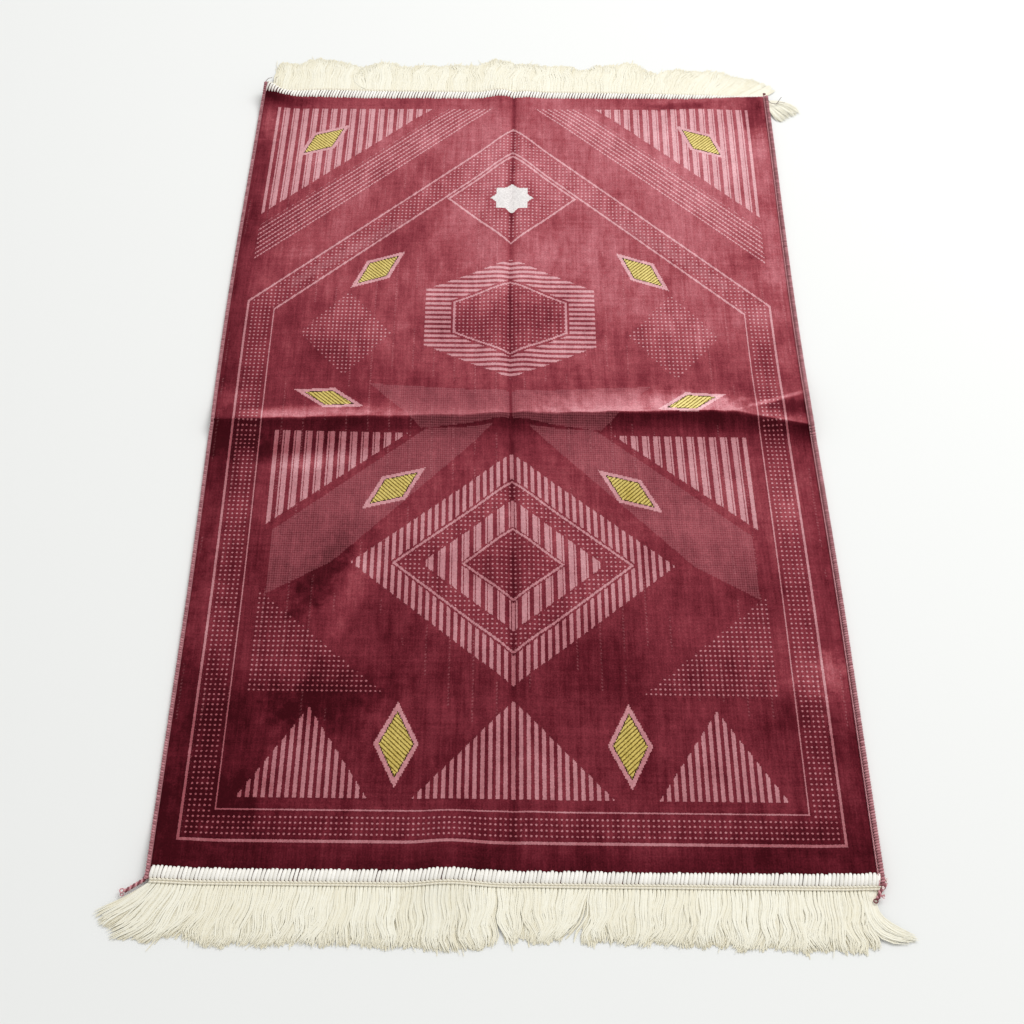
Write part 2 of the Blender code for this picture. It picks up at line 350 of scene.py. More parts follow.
def region(figures=(), bands=()):
    """1 in any of the figures, or where a band's field is between its two values, else 0."""
    parts = []
    if figures:
        nearest = combined([figure(points) for points in figures], "MINIMUM")
        parts.append(add_node(weave, "Math", {0: nearest, 1: 0.0}, operation="LESS_THAN"))
    for field, low, high in bands:
        middle, half = (low + high) / 2, (high - low) / 2
        band = add_node(weave, "Math", {0: field, 1: middle, 2: half}, operation="COMPARE")
        parts.append(band)
    return combined(parts, "MAXIMUM")


def threads(field, pitch, shift, *spans):
    """1 on the threads that take up these spans of each pitch of the field, else 0."""
    scaled = add_node(weave, "Math", {0: field, 1: 1 / pitch, 2: shift}, operation="MULTIPLY_ADD")
    share = add_node(weave, "Math", {0: scaled}, operation="FRACT")
    return region(bands=[(share, low, high) for low, high in spans])


def folded_about(v):
    """The tuft's place with its v measured either way from this v."""
    moved = add_node(weave, "VectorMath", {0: tuft, 1: (0, -v, 0)})
    return add_node(weave, "VectorMath", {0: moved}, operation="ABSOLUTE")


# The woven design, on one half of the rug: its other half mirrors it. An arch with a pointed
# head frames an eight-pointed star and two medallions, with stepped corner figures around them.
ARCH_OUTER_P = 0.312
ARCH_POINT_V = 0.470
ARCH_FOOT_V = -0.527
ARCH_BAND = 0.034
EDGE_LINE = 0.0024
STAR_V = 0.338
STAR_HALF = 0.0185
HEXAGON_V = 0.135
LOZENGE_V = -0.215
LOZENGE_HALF_P = 0.170
LOZENGE_HALF_V = 0.145

arch = combined(
    [
        beyond_line(tuft, (ARCH_OUTER_P, -0.5), (ARCH_OUTER_P, 0.1), (0, 0)),
        beyond_line(tuft, (0, ARCH_POINT_V), (ARCH_POINT_V, 0), (0, 0)),
        beyond_line(tuft, (0, ARCH_FOOT_V), (0.3, ARCH_FOOT_V), (0, 0)),
    ],
    "MAXIMUM",
)
star_place = folded_about(STAR_V)
star_parts = add_node(weave, "SeparateXYZ", {0: star_place})
star_square = combined([star_parts.outputs["X"], star_parts.outputs["Y"]], "MAXIMUM")
star_lozenge = beyond_line(star_place, (1, 0), (0, 1), (0, 0))
star_lozenge = add_node(weave, "Math", {0: star_lozenge, 1: math.sqrt(0.5)})
star = combined([star_square, star_lozenge], "MINIMUM")

hexagon_place = folded_about(HEXAGON_V)
hexagon = combined(
    [
        beyond_line(hexagon_place, (0.100, 0), (0.100, 1), (0, 0)),
        beyond_line(hexagon_place, (0, 0.095), (0.100, 0.045), (0, 0)),
    ],
    "MAXIMUM",
)
medallion_place = folded_about(LOZENGE_V)
medallion = beyond_line(medallion_place, (LOZENGE_HALF_P, 0), (0, LOZENGE_HALF_V), (0, 0))

yellow_figures = (
    lozenge(0.246, 0.446, 0.044, 0.021, -45),
    lozenge(0.160, 0.212, 0.044, 0.020, -45),
    lozenge(0.205, 0.006, 0.042, 0.017, 18),
    lozenge(0.128, -0.118, 0.044, 0.020, -40),
    lozenge(0.113, -0.425, 0.046, 0.022, 90),
)
wide = region(
    (
        ((0.108, 0.512), (0.312, 0.512), (0.312, 0.308)),
        ((0.115, -0.042), (0.262, -0.042), (0.262, -0.167)),
    ),
    ((medallion, -0.074, -0.048),),
)
upright = region(
    (
        ((-0.096, -0.482), (0.096, -0.482), (0.0, -0.378)),
        ((0.138, -0.482), (0.262, -0.482), (0.200, -0.386)),
    ),
    ((medallion, -0.026, 0.0),),
)
level = region(bands=((hexagon, -0.030, 0.0),))
dotted = region(
    (
        lozenge(0.192, 0.108, 0.066, 0.054, 90),
        ((0.128, -0.370), (0.262, -0.370), (0.262, -0.252)),
    ),
    (
        (arch, EDGE_LINE + 0.002 - ARCH_BAND, -EDGE_LINE - 0.002),
        (star_lozenge, 0.022, 0.052),
        (hexagon, -1.0, -0.036),
        (medallion, -0.046, -0.032),
        (medallion, -1.0, -0.080),
    ),
)
dashed = region((((0.028, 0.512), (0.086, 0.512), (0.312, 0.286), (0.312, 0.228)),))
bare = region(
    (
        ((0.020, -0.030), (0.095, -0.035), (0.255, -0.175), (0.255, -0.255), (0.190, -0.215)),
        ((0.0, 0.020), (0.0, -0.020), (0.10, -0.035), (0.16, 0.030)),
        ((0.262, 0.195), (0.262, 0.180), (0.120, 0.300), (0.140, 0.300)),
    )
)
outlines = region(
    bands=(
        (arch, -EDGE_LINE, 0.0),
        (arch, -ARCH_BAND, EDGE_LINE - ARCH_BAND),
        (medallion, -0.0305, -0.0280),
        (medallion, -0.0780, -0.0755),
        (hexagon, -0.0355, -0.0330),
        (star_lozenge, 0.0545, 0.0570),
    )
)

# The stripes, dots and dashes that fill them.
slants = []
for slant in ((0.7071, 0.7071, 0), (0.7071, -0.7071, 0), (0.5, 1.0, 0)):
    slanted = add_node(weave, "VectorMath", {0: loose, 1: slant}, operation="DOT_PRODUCT")
    slants.append(slanted.outputs["Value"])
DOT_PITCH = (0.0048, 0.0056)
DOT_HALF = (0.0011, 0.0010)
dot_scale = (1 / DOT_PITCH[0], 1 / DOT_PITCH[1], 0)
dot_at = add_node(weave, "VectorMath", {0: loose, 1: dot_scale}, operation="MULTIPLY")
dot_at = add_node(weave, "VectorMath", {0: dot_at}, operation="FRACTION")
dot_scale = (DOT_PITCH[0] / DOT_HALF[0], DOT_PITCH[1] / DOT_HALF[1], 0)
dot_middle = (-0.5 * dot_scale[0], -0.5 * dot_scale[1], 0)
dot_at = add_node(
    weave, "VectorMath", {0: dot_at, 1: dot_scale, 2: dot_middle}, operation="MULTIPLY_ADD"
)
dot_size = add_node(weave, "VectorMath", {0: dot_at}, operation="LENGTH").outputs["Value"]

pink_parts = [outlines]
for where, *thread in (
    (wide, threads(sideways, 0.0125, 0.30, (0.0, 0.42), (0.49, 0.63))),
    (upright, threads(sideways, 0.0074, 0.25, (0.0, 0.52))),
    (level, threads(along, 0.0074, 0.0, (0.0, 0.52))),
    (dotted, region(bands=((dot_size, -1.0, 1.0),))),
    (
        dashed,
        threads(slants[0], 0.0058, 0.0, (0.0, 0.34)),
        threads(slants[1], 0.0046, 0.0, (0.0, 0.74)),
    ),
):
    pink_parts.append(combined([where, *thread], "MINIMUM"))
pink = combined(pink_parts, "MAXIMUM")

# Painted light and shade, given as how the pile leans: 0 is painted shade, where it leans away from
# the light, and 1 is painted light, where it leans towards it.
PAINTED_LIGHT_ALONG = (  # v, lean
    (-0.550, 0.08),
    (-0.520, 0.19),
    (-0.430, 0.25),
    (-0.360, 0.22),
    (-0.310, 0.28),
    (-0.240, 0.31),
    (-0.200, 0.34),
    (-0.140, 0.42),
    (-0.060, 0.36),
    (0.020, 0.40),
    (0.110, 0.51),
    (0.200, 0.61),
    (0.300, 0.63),
    (0.450, 0.69),
    (0.538, 0.55),
)
# Painted shade, darker towards both long sides.
PAINTED_LIGHT_SIDEWAYS = (  # u, share of the lean, half scale
    (-0.3353, 0.17),
    (-0.3150, 0.25),
    (-0.3000, 0.33),
    (-0.2700, 0.37),
    (-0.2200, 0.41),
    (-0.1300, 0.45),
    (-0.0300, 0.49),
    (0.0700, 0.52),
    (0.2700, 0.51),
    (0.3150, 0.49),
    (0.3353, 0.43),
)
# Painted shade on the foot side of the crosswise crease, and a painted highlight on its crest.
PAINTED_LIGHT_ACROSS_FOLD = (  # distance from the crosswise crease, share of the lean, half scale
    (-0.0600, 0.50),
    (-0.0420, 0.42),
    (-0.0300, 0.34),
    (-0.0200, 0.20),
    (-0.0110, 0.08),
    (-0.0035, 0.04),
    (-0.0010, 0.20),
    (0.0008, 0.82),
    (0.0040, 0.74),
    (0.0110, 0.58),
    (0.0300, 0.48),
    (0.0600, 0.50),
)
# Painted shade in the lengthwise groove.
PAINTED_LIGHT_ACROSS_GROOVE = (  # distance from the lengthwise crease, share of the lean, half scale
    (0.0, 0.24),
    (0.0016, 0.28),
    (0.0045, 0.44),
    (0.0120, 0.51),
    (0.0300, 0.50),
    (0.3353, 0.50),
)
PAINTED_LIGHT_AND_SHADE_PATCHES = (  # painted light and shade: middle u and v, direction in degrees, half length, half width, lean
    (-0.312, 0.532, -15, 0.050, 0.020, -0.20),  # painted shade behind the curled corner
    (-0.322, 0.480, 90, 0.045, 0.030, 0.22),
    (0.318, 0.500, 90, 0.055, 0.020, -0.32),
    (0.225, 0.521, 4, 0.070, 0.012, -0.26),  # painted shade in the dent near the head's right corner
    (-0.120, 0.300, 60, 0.120, 0.040, -0.12),
    (0.060, 0.235, 20, 0.090, 0.050, 0.12),
    (-0.040, 0.130, 0, 0.110, 0.045, -0.14),
    (0.060, 0.150, -30, 0.070, 0.035, -0.10),
    (0.130, 0.006, 3, 0.150, 0.028, 0.33),  # painted light on the head side of the crosswise crease
    (0.225, 0.004, 0, 0.064, 0.020, 0.26),
    (-0.240, -0.017, 4, 0.130, 0.013, 0.30),
    (-0.240, -0.060, 4, 0.120, 0.026, -0.24),  # its shaded foot side
    (-0.312, -0.044, 4, 0.050, 0.032, -0.20),
    (0.300, 0.0098, 17.5, 0.048, 0.0042, 0.42),  # painted highlight on the upper branch of its fork
    (0.318, 0.000, 3, 0.042, 0.018, -0.28),  # painted shade on the facet between the branches
    (-0.322, 0.006, 3, 0.036, 0.026, 0.26),  # painted light where the crease's head side meets the left edge
    (0.322, 0.225, 90, 0.060, 0.024, 0.16),  # painted light along the right edge
    (0.322, 0.075, 90, 0.030, 0.022, 0.14),
    (0.322, -0.362, 90, 0.060, 0.024, 0.18),
    (-0.320, -0.285, 90, 0.095, 0.024, 0.18),  # painted light along the left edge
    (-0.225, -0.083, 10, 0.060, 0.016, 0.20),
    (-0.200, -0.225, 68, 0.080, 0.026, -0.26),  # painted shade beside the diagonal undulation
    (-0.165, -0.250, 68, 0.080, 0.018, 0.16),
    (-0.180, -0.375, 10, 0.080, 0.045, -0.18),
    (0.300, -0.345, 20, 0.050, 0.030, 0.18),
    (0.080, -0.330, -60, 0.100, 0.050, -0.08),
    (-0.275, -0.430, 90, 0.100, 0.070, -0.12),
    (-0.290, -0.500, 0, 0.090, 0.050, -0.10),
    (0.290, -0.520, 0, 0.100, 0.030, -0.10),
)
PATCH_RAGGED = 0.6  # how far a patch's edge wanders, beside its size
PATCH_FADE = (0.2, 1.1)  # from a patch's middle, in its half lengths and widths
BRUSH_DARK = 0.45  # how much the brushing shows where the pile is in painted shade
BRUSH_GAIN = 0.50  # how much more where it is in painted light


def graded(field, table):
    """A smooth value or colour over the field, from the rows of a table."""
    low, high = table[0][0], table[-1][0]
    share = add_node(weave, "MapRange", {0: field, 1: low, 2: high})
    ramp = add_node(weave, "ValToRGB", {0: share})
    stops = ramp.color_ramp.elements
    while len(stops) < len(table):
        stops.new(0.5)
    for stop, (place, value) in zip(stops, table):
        stop.position = (place - low) / (high - low)
        stop.color = paint(value) if isinstance(value, str) else (value, value, value, 1)
    return ramp


def mottled(scale, detail, amount, stretch=(1, 1, 1)):
    """Noise over the flat rug, as much above as below 0, with patches of about 1 / scale."""
    stretched = add_node(weave, "VectorMath", {0: flat, 1: stretch}, operation="MULTIPLY")
    noise = add_node(
        weave,
        "TexNoise",
        {"Vector": stretched, "Scale": scale, "Detail": detail, "Roughness": 0.6},
        noise_dimensions="2D",
    )
    scaled = {0: noise, 1: 2 * amount, 2: -amount}
    return add_node(weave, "Math", scaled, operation="MULTIPLY_ADD")


flat_parts = add_node(weave, "SeparateXYZ", {0: flat})
across_fold = add_node(weave, "Attribute", attribute_name="from_fold").outputs["Fac"]
across_fold = add_node(weave, "Math", {0: across_fold, 1: mottled(22.0, 3.0, 0.0026)})
# The painted light and shade over the rug, from the tables and patches above.
lean = graded(flat_parts.outputs["Y"], PAINTED_LIGHT_ALONG)
for share in (graded(flat_parts.outputs["X"], PAINTED_LIGHT_SIDEWAYS), graded(sideways, PAINTED_LIGHT_ACROSS_GROOVE)):
    lean = add_node(weave, "Math", {0: lean, 1: share}, operation="MULTIPLY")
    lean = add_node(weave, "Math", {0: lean, 1: 2.0}, operation="MULTIPLY")
ragged = mottled(70.0, 4.0, 0.9)
for u, v, direction, half_length, half_width, amount in PAINTED_LIGHT_AND_SHADE_PATCHES:
    patch = add_node(
        weave,
        "Mapping",
        {
            "Vector": flat,
            "Location": (u, v, 0),
            "Rotation": (0, 0, math.radians(direction)),
            "Scale": (half_length, half_width, 1),
        },
        vector_type="TEXTURE",
    )
    patch = add_node(weave, "VectorMath", {0: patch}, operation="LENGTH").outputs["Value"]
    patch = add_node(
        weave, "Math", {0: ragged, 1: PATCH_RAGGED, 2: patch}, operation="MULTIPLY_ADD"
    )
    patch = add_node(
        weave,
        "MapRange",
        {0: patch, 1: PATCH_FADE[0], 2: PATCH_FADE[1], 3: amount, 4: 0.0},
        interpolation_type="SMOOTHSTEP",
    )
    lean = add_node(weave, "Math", {0: lean, 1: patch})
share = graded(across_fold, PAINTED_LIGHT_ACROSS_FOLD)
lean = add_node(weave, "Math", {0: lean, 1: share}, operation="MULTIPLY")
lean = add_node(weave, "Math", {0: lean, 1: 2.0}, operation="MULTIPLY")

# How unevenly it is brushed: in broad patches, in streaks along and across, and tuft by tuft.
brush = mottled(11.0, 4.0, 0.34)
for more in (
    mottled(38.0, 3.0, 0.25, (2.0, 0.5, 1)),
    mottled(110.0, 2.0, 0.10),
    mottled(420.0, 2.0, 0.15, (1.0, 0.035, 1)),
    mottled(300.0, 2.0, 0.10, (0.03, 1.0, 1)),
    mottled(700.0, 1.0, 0.18),
):
    brush = add_node(weave, "Math", {0: brush, 1: more})
depth = add_node(
    weave, "Math", {0: lean, 1: BRUSH_GAIN, 2: BRUSH_DARK}, operation="MULTIPLY_ADD"
)
lean = add_node(weave, "Math", {0: brush, 1: depth, 2: lean}, operation="MULTIPLY_ADD")
lean = add_node(weave, "Clamp", {0: lean})

sparkle = add_node(weave, "VectorMath", {0: flat, 1: GRAIN}, operation="SNAP")
sparkle = add_node(weave, "TexWhiteNoise", {"Vector": sparkle}, noise_dimensions="2D")

# A faint check in the plain areas, and short pale ticks strewn over the field.
gauze = add_node(
    weave,
    "Math",
    {0: threads(sideways, 0.0024, 0.0, (0.0, 0.5)), 1: threads(along, 0.0029, 0.0, (0.0, 0.5))},
)
gauze = add_node(weave, "Math", {0: gauze, 1: 0.20, 2: 0.12}, operation="MULTIPLY_ADD")
gauze = add_node(weave, "Math", {0: gauze, 1: bare}, operation="MULTIPLY")
ticks = combined(
    [
        threads(sideways, 0.0240, 0.35, (0.0, 0.075)),
        threads(slants[2], 0.0038, 0.0, (0.0, 0.5)),
        region(bands=((along, -0.40, 0.48),)),
        region(bands=((mottled(9.0, 2.0, 1.0), 0.04, 1.0),)),
    ],
    "MINIMUM",
)
ticks = add_node(weave, "Math", {0: ticks, 1: sparkle}, operation="MULTIPLY")
ticks = add_node(weave, "Math", {0: ticks, 1: 0.26}, operation="MULTIPLY")

# The yellow lozenges, striped, each within a dark line and a pink one.
yellow_field = combined([figure(points) for points in yellow_figures], "MINIMUM")
gold = region(bands=((yellow_field, -1.0, -0.0052),))
gold_shade = combined([gold, threads(slants[1], 0.0036, 0.0, (0.0, 0.34))], "MINIMUM")

# The burgundy ground, from painted shade at 0 to painted light at 1.
pattern = graded(
    lean,
    (
        (0.0, "#3a0911"),
        (0.15, "#571721"),
        (0.35, "#7a2e38"),
        (0.55, "#98474f"),
        (0.80, "#b86b73"),
        (1.0, "#d28d94"),
    ),
)
for where, dark, pale in (  # each dyed pile in painted shade, where it leans away, and in painted light, where it leans towards
    (gauze, "#8d4b52", "#c07f86"),
    (ticks, "#a5656a", "#e9b6ba"),
    (pink, "#934e55", "#ecbabf"),
    (region(bands=((yellow_field, -1.0, 0.0),)), "#a5656a", "#ecbabf"),
    (region(bands=((yellow_field, -1.0, -0.0042),)), "#2c1c10", "#4a3a22"),
    (gold, "#b49c4a", "#efdd90"),
    (gold_shade, "#5d4a16", "#8a7434"),
    (region(bands=((star, -1.0, STAR_HALF),)), "#d6d0ce", "#e6e2e0"),
):
    dyed = add_node(weave, "Mix", {0: lean, 6: paint(dark), 7: paint(pale)}, data_type="RGBA")
    pattern = add_node(weave, "Mix", {0: where, 6: pattern, 7: dyed.outputs[2]}, data_type="RGBA")
    pattern = pattern.outputs[2]
# Every spot is up to 12 % darker or paler than the dye.
grain = add_node(weave, "Math", {0: sparkle, 1: 0.24, 2: 0.88}, operation="MULTIPLY_ADD")
pattern = add_node(weave, "VectorMath", {0: pattern, 1: grain}, operation="MULTIPLY")

pile = weave.nodes["Principled BSDF"]
weave.links.new(pattern.outputs[0], pile.inputs["Base Color"])
pile.inputs["Roughness"].default_value = 0.95
pile.inputs["Specular IOR Level"].default_value = 0.04
pile.inputs["Sheen Weight"].default_value = 0.03
pile.inputs["Sheen Roughness"].default_value = 0.5
pile.inputs["Sheen Tint"].default_value = paint("#d9a2a8")
relief = add_node(weave, "Math", {0: pink, 1: 0.35, 2: sparkle}, operation="MULTIPLY_ADD")
pile_relief = add_node(weave, "Bump", {"Strength": 0.35, "Distance": 0.0006, "Height": relief})
weave.links.new(pile_relief.outputs[0], pile.inputs["Normal"])
cloth.data.materials.append(velvet)

# The back of the ground weave: flat polyester threads, duller and greyer than the pile. They are
# drawn 5 mm apart, some four times the real ones, so that they show.
ground = bpy.data.materials.new("woven_polyester_back")
ground.use_nodes = True
back = ground.node_tree
back_place = add_node(back, "UVMap", uv_map="flat_rug")
warp = add_node(
    back, "TexWave", {"Vector": back_place, "Scale": 210.0, "Distortion": 0.6}, bands_direction="X"
)
weft = add_node(
    back, "TexWave", {"Vector": back_place, "Scale": 170.0, "Distortion": 0.6}, bands_direction="Y"
)
crossing = add_node(back, "Math", {0: warp, 1: weft}, operation="MULTIPLY")
back_colour = add_node(
    back, "Mix", {0: crossing, 6: paint("#6a2431"), 7: paint("#a25a66")}, data_type="RGBA"
)
back_shader = back.nodes["Principled BSDF"]
back.links.new(back_colour.outputs[2], back_shader.inputs["Base Color"])
back_shader.inputs["Roughness"].default_value = 0.8
back_relief = add_node(back, "Bump", {"Strength": 0.4, "Distance": 0.0004, "Height": crossing})
back.links.new(back_relief.outputs[0], back_shader.inputs["Normal"])
cloth.data.materials.append(ground)
for face in cloth.data.polygons:
    face.material_index = 1 if min(face.vertices) >= below else 0

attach(cloth, "root")
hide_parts("pile_cloth")

# ------------------------------------------------------------------------------------------
# The side overlocks. Each long edge is bound by machine with rose polyester thread: loops wrap
# over the edge side by side, a chain runs along their inner ends on the pile, and at the foot
# end the loops run on past the corner as a loose twisted tail.
# ------------------------------------------------------------------------------------------
UP = Vector((0, 0, 1))
GAP = 0.0003
BAND_WIDTH = 0.0135
BINDING_RADIUS = 0.0021
BINDING_GIRTH = {"left": 0.84, "right": 0.92}  # the left side is sewn tighter than the right one
CORE_STEPS = 240
CORE_INWARD = 0.0003  # the core lies against the cut edge
# The core is darker than most loops, as painted shade where it shows between them.
CORE_PAINTED_SHADE_TONE = 0.30
CORE_FLATNESS = (1.12, 0.94)  # width and height beside the binding's
LOOP_PITCH = 0.0028
LOOP_LEAN = 0.0022  # how far a loop travels along the edge as it wraps over it
LOOP_SHIFT_UNEVEN = 0.14  # of the pitch
LOOP_SIZE_UNEVEN = 0.10
LOOP_TONES = (0.25, 0.70)
LOOP_FLATNESS = (0.60, 0.86)
LOOP_ROUTE = (  # out from the binding's middle, up from it, thread radius
    (-0.0040, 0.0014, 0.00040),
    (-0.0030, 0.0018, 0.00052),
    (-0.0018, 0.0021, 0.00085),
    (-0.0003, 0.0022, 0.00125),
    (0.0011, 0.0017, 0.00135),
    (0.0018, 0.0004, 0.00135),
    (0.0014, -0.0010, 0.00120),
    (0.0001, -0.0015, 0.00080),
)
BURIED_STEPS = 2  # of the route, where the left side's pile hides the loops' inner ends
LINK_ROUTE = (  # one link of the right side's chain: in from the binding's middle, along it, up
    (0.0047, -0.0019, 0.0014),
    (0.0043, -0.0008, 0.0019),
    (0.0039, 0.0004, 0.0019),
    (0.0045, 0.0016, 0.0014),
)
LINK_RADII = (0.00035, 0.00062, 0.00062, 0.00035)
LINK_TONES = (0.50, 0.78)

# The tails: two strands twisted round each other, and the thread's loose ends.
TAIL_STRANDS = ((0.0, 0.12), (math.pi, 0.78))  # where each starts round the tail, its tone: a dark strand as painted shade and a pale one as painted highlight along the twist
STRAND_RADIUS = 0.00102
STRAND_OUT = STRAND_RADIUS * 0.9  # from the tail's middle to each strand's
STRAND_TWIST = 0.0058  # length of one turn
TURN_STEPS = 8
TAIL_LEAVES = (0, 0.0040, 0.0004)  # where it leaves the core, from the core's end
TAIL = {
    "left": (
        (-0.3386, -0.5600, 0.0040),
        (-0.3388, -0.5640, 0.0043),
        (-0.3424, -0.5668, 0.0046),
        (-0.3480, -0.5705, 0.0046),
        (-0.3535, -0.5743, 0.0044),
        (-0.3560, -0.5750, 0.0042),
    ),
    "right": (
        (0.3400, -0.5575, 0.0036),
        (0.3391, -0.5608, 0.0046),
        (0.3376, -0.5640, 0.0052),
        (0.3352, -0.5668, 0.0054),
        (0.3330, -0.5690, 0.0054),
        (0.3314, -0.5730, 0.0052),
        (0.3292, -0.5762, 0.0050),
    ),
}
LOOSE_RINGS = {  # thread, middle, ring radius, thread radius, start, turns, tone
    "left": (
        ("dyed", (-0.3576, -0.5748, 0.0042), 0.0019, 0.00062, 0.4, 1.15, 0.80),
        ("dyed", (-0.3572, -0.5780, 0.0034), 0.0015, 0.00050, 1.2, 0.90, 0.55),
        ("undyed", (-0.3580, -0.5792, 0.0034), 0.0010, 0.00035, 2.0, 0.80, 0.90),
    ),
    "right": (
        ("dyed", (0.3276, -0.5782, 0.0050), 0.0019, 0.00060, 0.9, 1.10, 0.05),
        ("dyed", (0.3354, -0.5742, 0.0050), 0.0012, 0.00042, 0.2, 0.80, 0.90),
        ("dyed", (0.3336, 0.5450, 0.0080), 0.0013, 0.00085, 0.3, 1.00, 0.00),
        ("undyed", (0.3404, -0.5569, 0.0050), 0.0011, 0.00050, 1.4, 0.90, 0.95),
        ("undyed", (0.3395, -0.5602, 0.0060), 0.0010, 0.00050, 2.1, 0.90, 0.95),
        ("undyed", (0.3356, -0.5662, 0.0068), 0.0009, 0.00050, 3.5, 0.90, 0.95),
    ),
}
LOOSE_THREADS = {  # thread, radius, tone, corners
    "left": (
        (
            ("undyed", 0.00035, 0.10),
            ((-0.3215, 0.5400, 0.0160), (-0.3212, 0.5470, 0.0170), (-0.3208, 0.5520, 0.0160)),
        ),
        (
            ("undyed", 0.00040, 0.15),
            ((-0.3343, 0.5415, 0.0170), (-0.3310, 0.5450, 0.0186), (-0.3262, 0.5480, 0.0180)),
        ),
    ),
    "right": (
        (
            ("dyed", 0.00075, 0.60),
            ((0.3308, -0.5745, 0.0056), (0.3335, -0.5738, 0.0062), (0.3368, -0.5722, 0.0054)),
        ),
        (
            ("undyed", 0.00040, 0.0),
            (
                (0.3370, 0.5440, 0.0072),
                (0.3395, 0.5300, 0.0072),
                (0.3465, 0.5265, 0.0074),
                (0.3489, 0.5275, 0.0074),
                (0.3569, 0.5420, 0.0062),
            ),
        ),
        (
            ("undyed", 0.00028, 0.2),
            ((0.3489, 0.5275, 0.0074), (0.3550, 0.5298, 0.0070), (0.3608, 0.5310, 0.0062)),
        ),
    ),
}
CURVE_STEPS = 24  # of a curve, between two of its corners
LOOSE_SPACING = 0.0012  # of the points along a loose thread
RING_STEPS = 14  # in one turn
RING_RISE = 0.3  # of a ring's radius, from its start to its end


def uneven(rng, spread):
    """A random value, up to half of this spread above or below 0."""
    return spread * (rng.random() - 0.5)


def spin(strand, route, radii, up, tone, sides=5, thin=(1.0, 1.0)):
    """Adds one closed thread along route to strand, its lists of points, faces and tones.

    Thin squeezes it across up and along up.
    """
    points, faces, tones = strand
    first = len(points)
    last = len(route) - 1
    for step, (point, radius) in enumerate(zip(route, radii)):
        ahead = route[min(step + 1, last)] - route[max(step - 1, 0)]
        side = ahead.cross(up).normalized()
        over = side.cross(ahead).normalized()
        side *= radius * thin[0]
        over *= radius * thin[1]
        for corner in range(sides):
            angle = math.pi / 2 + 2 * math.pi * corner / sides
            points.append(point + side * math.cos(angle) + over * math.sin(angle))
            tones.append(tone)
    for step in range(last):
        ring = first + step * sides
        for corner in range(sides):
            beside = (corner + 1) % sides
            ahead = ring + sides
            faces.append((ring + corner, ahead + corner, ahead + beside, ring + beside))
    faces.append(tuple(range(first, first + sides)))
    end = first + last * sides
    faces.append(tuple(range(end + sides - 1, end - 1, -1)))


def eased_curve(corners, spacing):
    """Points at this spacing along a smooth curve through the corners."""
    ends = [corners[0] * 2 - corners[1]] + list(corners) + [corners[-1] * 2 - corners[-2]]
    fine = []
    for a, b, c, d in zip(ends, ends[1:], ends[2:], ends[3:]):
        for step in range(CURVE_STEPS):
            t = step / CURVE_STEPS
            squared = (2 * a - 5 * b + 4 * c - d) * t**2
            cubed = (3 * b - a - 3 * c + d) * t**3
            fine.append(0.5 * (2 * b + (c - a) * t + squared + cubed))
    fine.append(corners[-1])
    places, left = [fine[0]], spacing
    for a, b in zip(fine, fine[1:]):
        stretch = (b - a).length
        while stretch >= left:
            a = a + (b - a) * (left / stretch)
            places.append(a)
            stretch = (b - a).length
            left = spacing
        left -= stretch
    return places


def ring_of(strand, middle, size, radius, start, turns, tone):
    """A loose ring of thread lying flat."""
    count = max(6, int(RING_STEPS * turns))
    route = []
    for step in range(count + 1):
        angle = start + 2 * math.pi * turns * step / count
        around = Vector((math.cos(angle), math.sin(angle), RING_RISE * step / count))
        route.append(Vector(middle) + size * around)
    spin(strand, route, [radius] * len(route), UP, tone, 6)


def binding_middle(side, v):
    """The middle of the bound roll beyond the cloth's edge."""
    roll = Vector((side * (GAP + BINDING_RADIUS), 0, 0))
    return lay(side * CLOTH_HALF_WIDTH, v, BINDING_RADIUS) + roll


def thread_material(name, dark, pale, roughness, ply_scale, ply_depth):
    """Twisted thread: its tone from each point, and fine plies in its colour and relief."""
    material = bpy.data.materials.new(name)
    material.use_nodes = True
    tree = material.node_tree
    place = add_node(tree, "NewGeometry")
    tone = add_node(tree, "Attribute", attribute_name="tone").outputs["Fac"]
    plies = add_node(
        tree,
        "TexNoise",
        {"Vector": place.outputs["Position"], "Scale": ply_scale, "Detail": 2.0},
    )
    share = add_node(tree, "Math", {0: plies, 1: 0.5, 2: -0.25}, operation="MULTIPLY_ADD")
    share = add_node(tree, "Math", {0: share, 1: tone}, use_clamp=True)
    colour = add_node(tree, "Mix", {0: share, 6: paint(dark), 7: paint(pale)}, data_type="RGBA")
    shader = tree.nodes["Principled BSDF"]
    tree.links.new(colour.outputs[2], shader.inputs["Base Color"])
    shader.inputs["Roughness"].default_value = roughness
    shader.inputs["Sheen Weight"].default_value = 0.10
    shader.inputs["Specular IOR Level"].default_value = 0.3
    relief = add_node(tree, "Bump", {"Strength": ply_depth, "Distance": 0.0002, "Height": plies})
    tree.links.new(relief.outputs[0], shader.inputs["Normal"])
    return material


# Twisted polyester sewing thread, dyed rose: a satin lustre, pale where the light catches the
# round of a loop. The plies are 1 mm apart, three times the real ones, so that they show.
rose_thread = thread_material("rose_polyester_thread", "#6a1e2b", "#dfa0a6", 0.62, 900.0, 0.5)
# The same thread undyed, with some dust in it, where the needle threads end at the corners.
bare_thread = thread_material("undyed_polyester_thread", "#7c7068", "#f4ece6", 0.7, 900.0, 0.4)

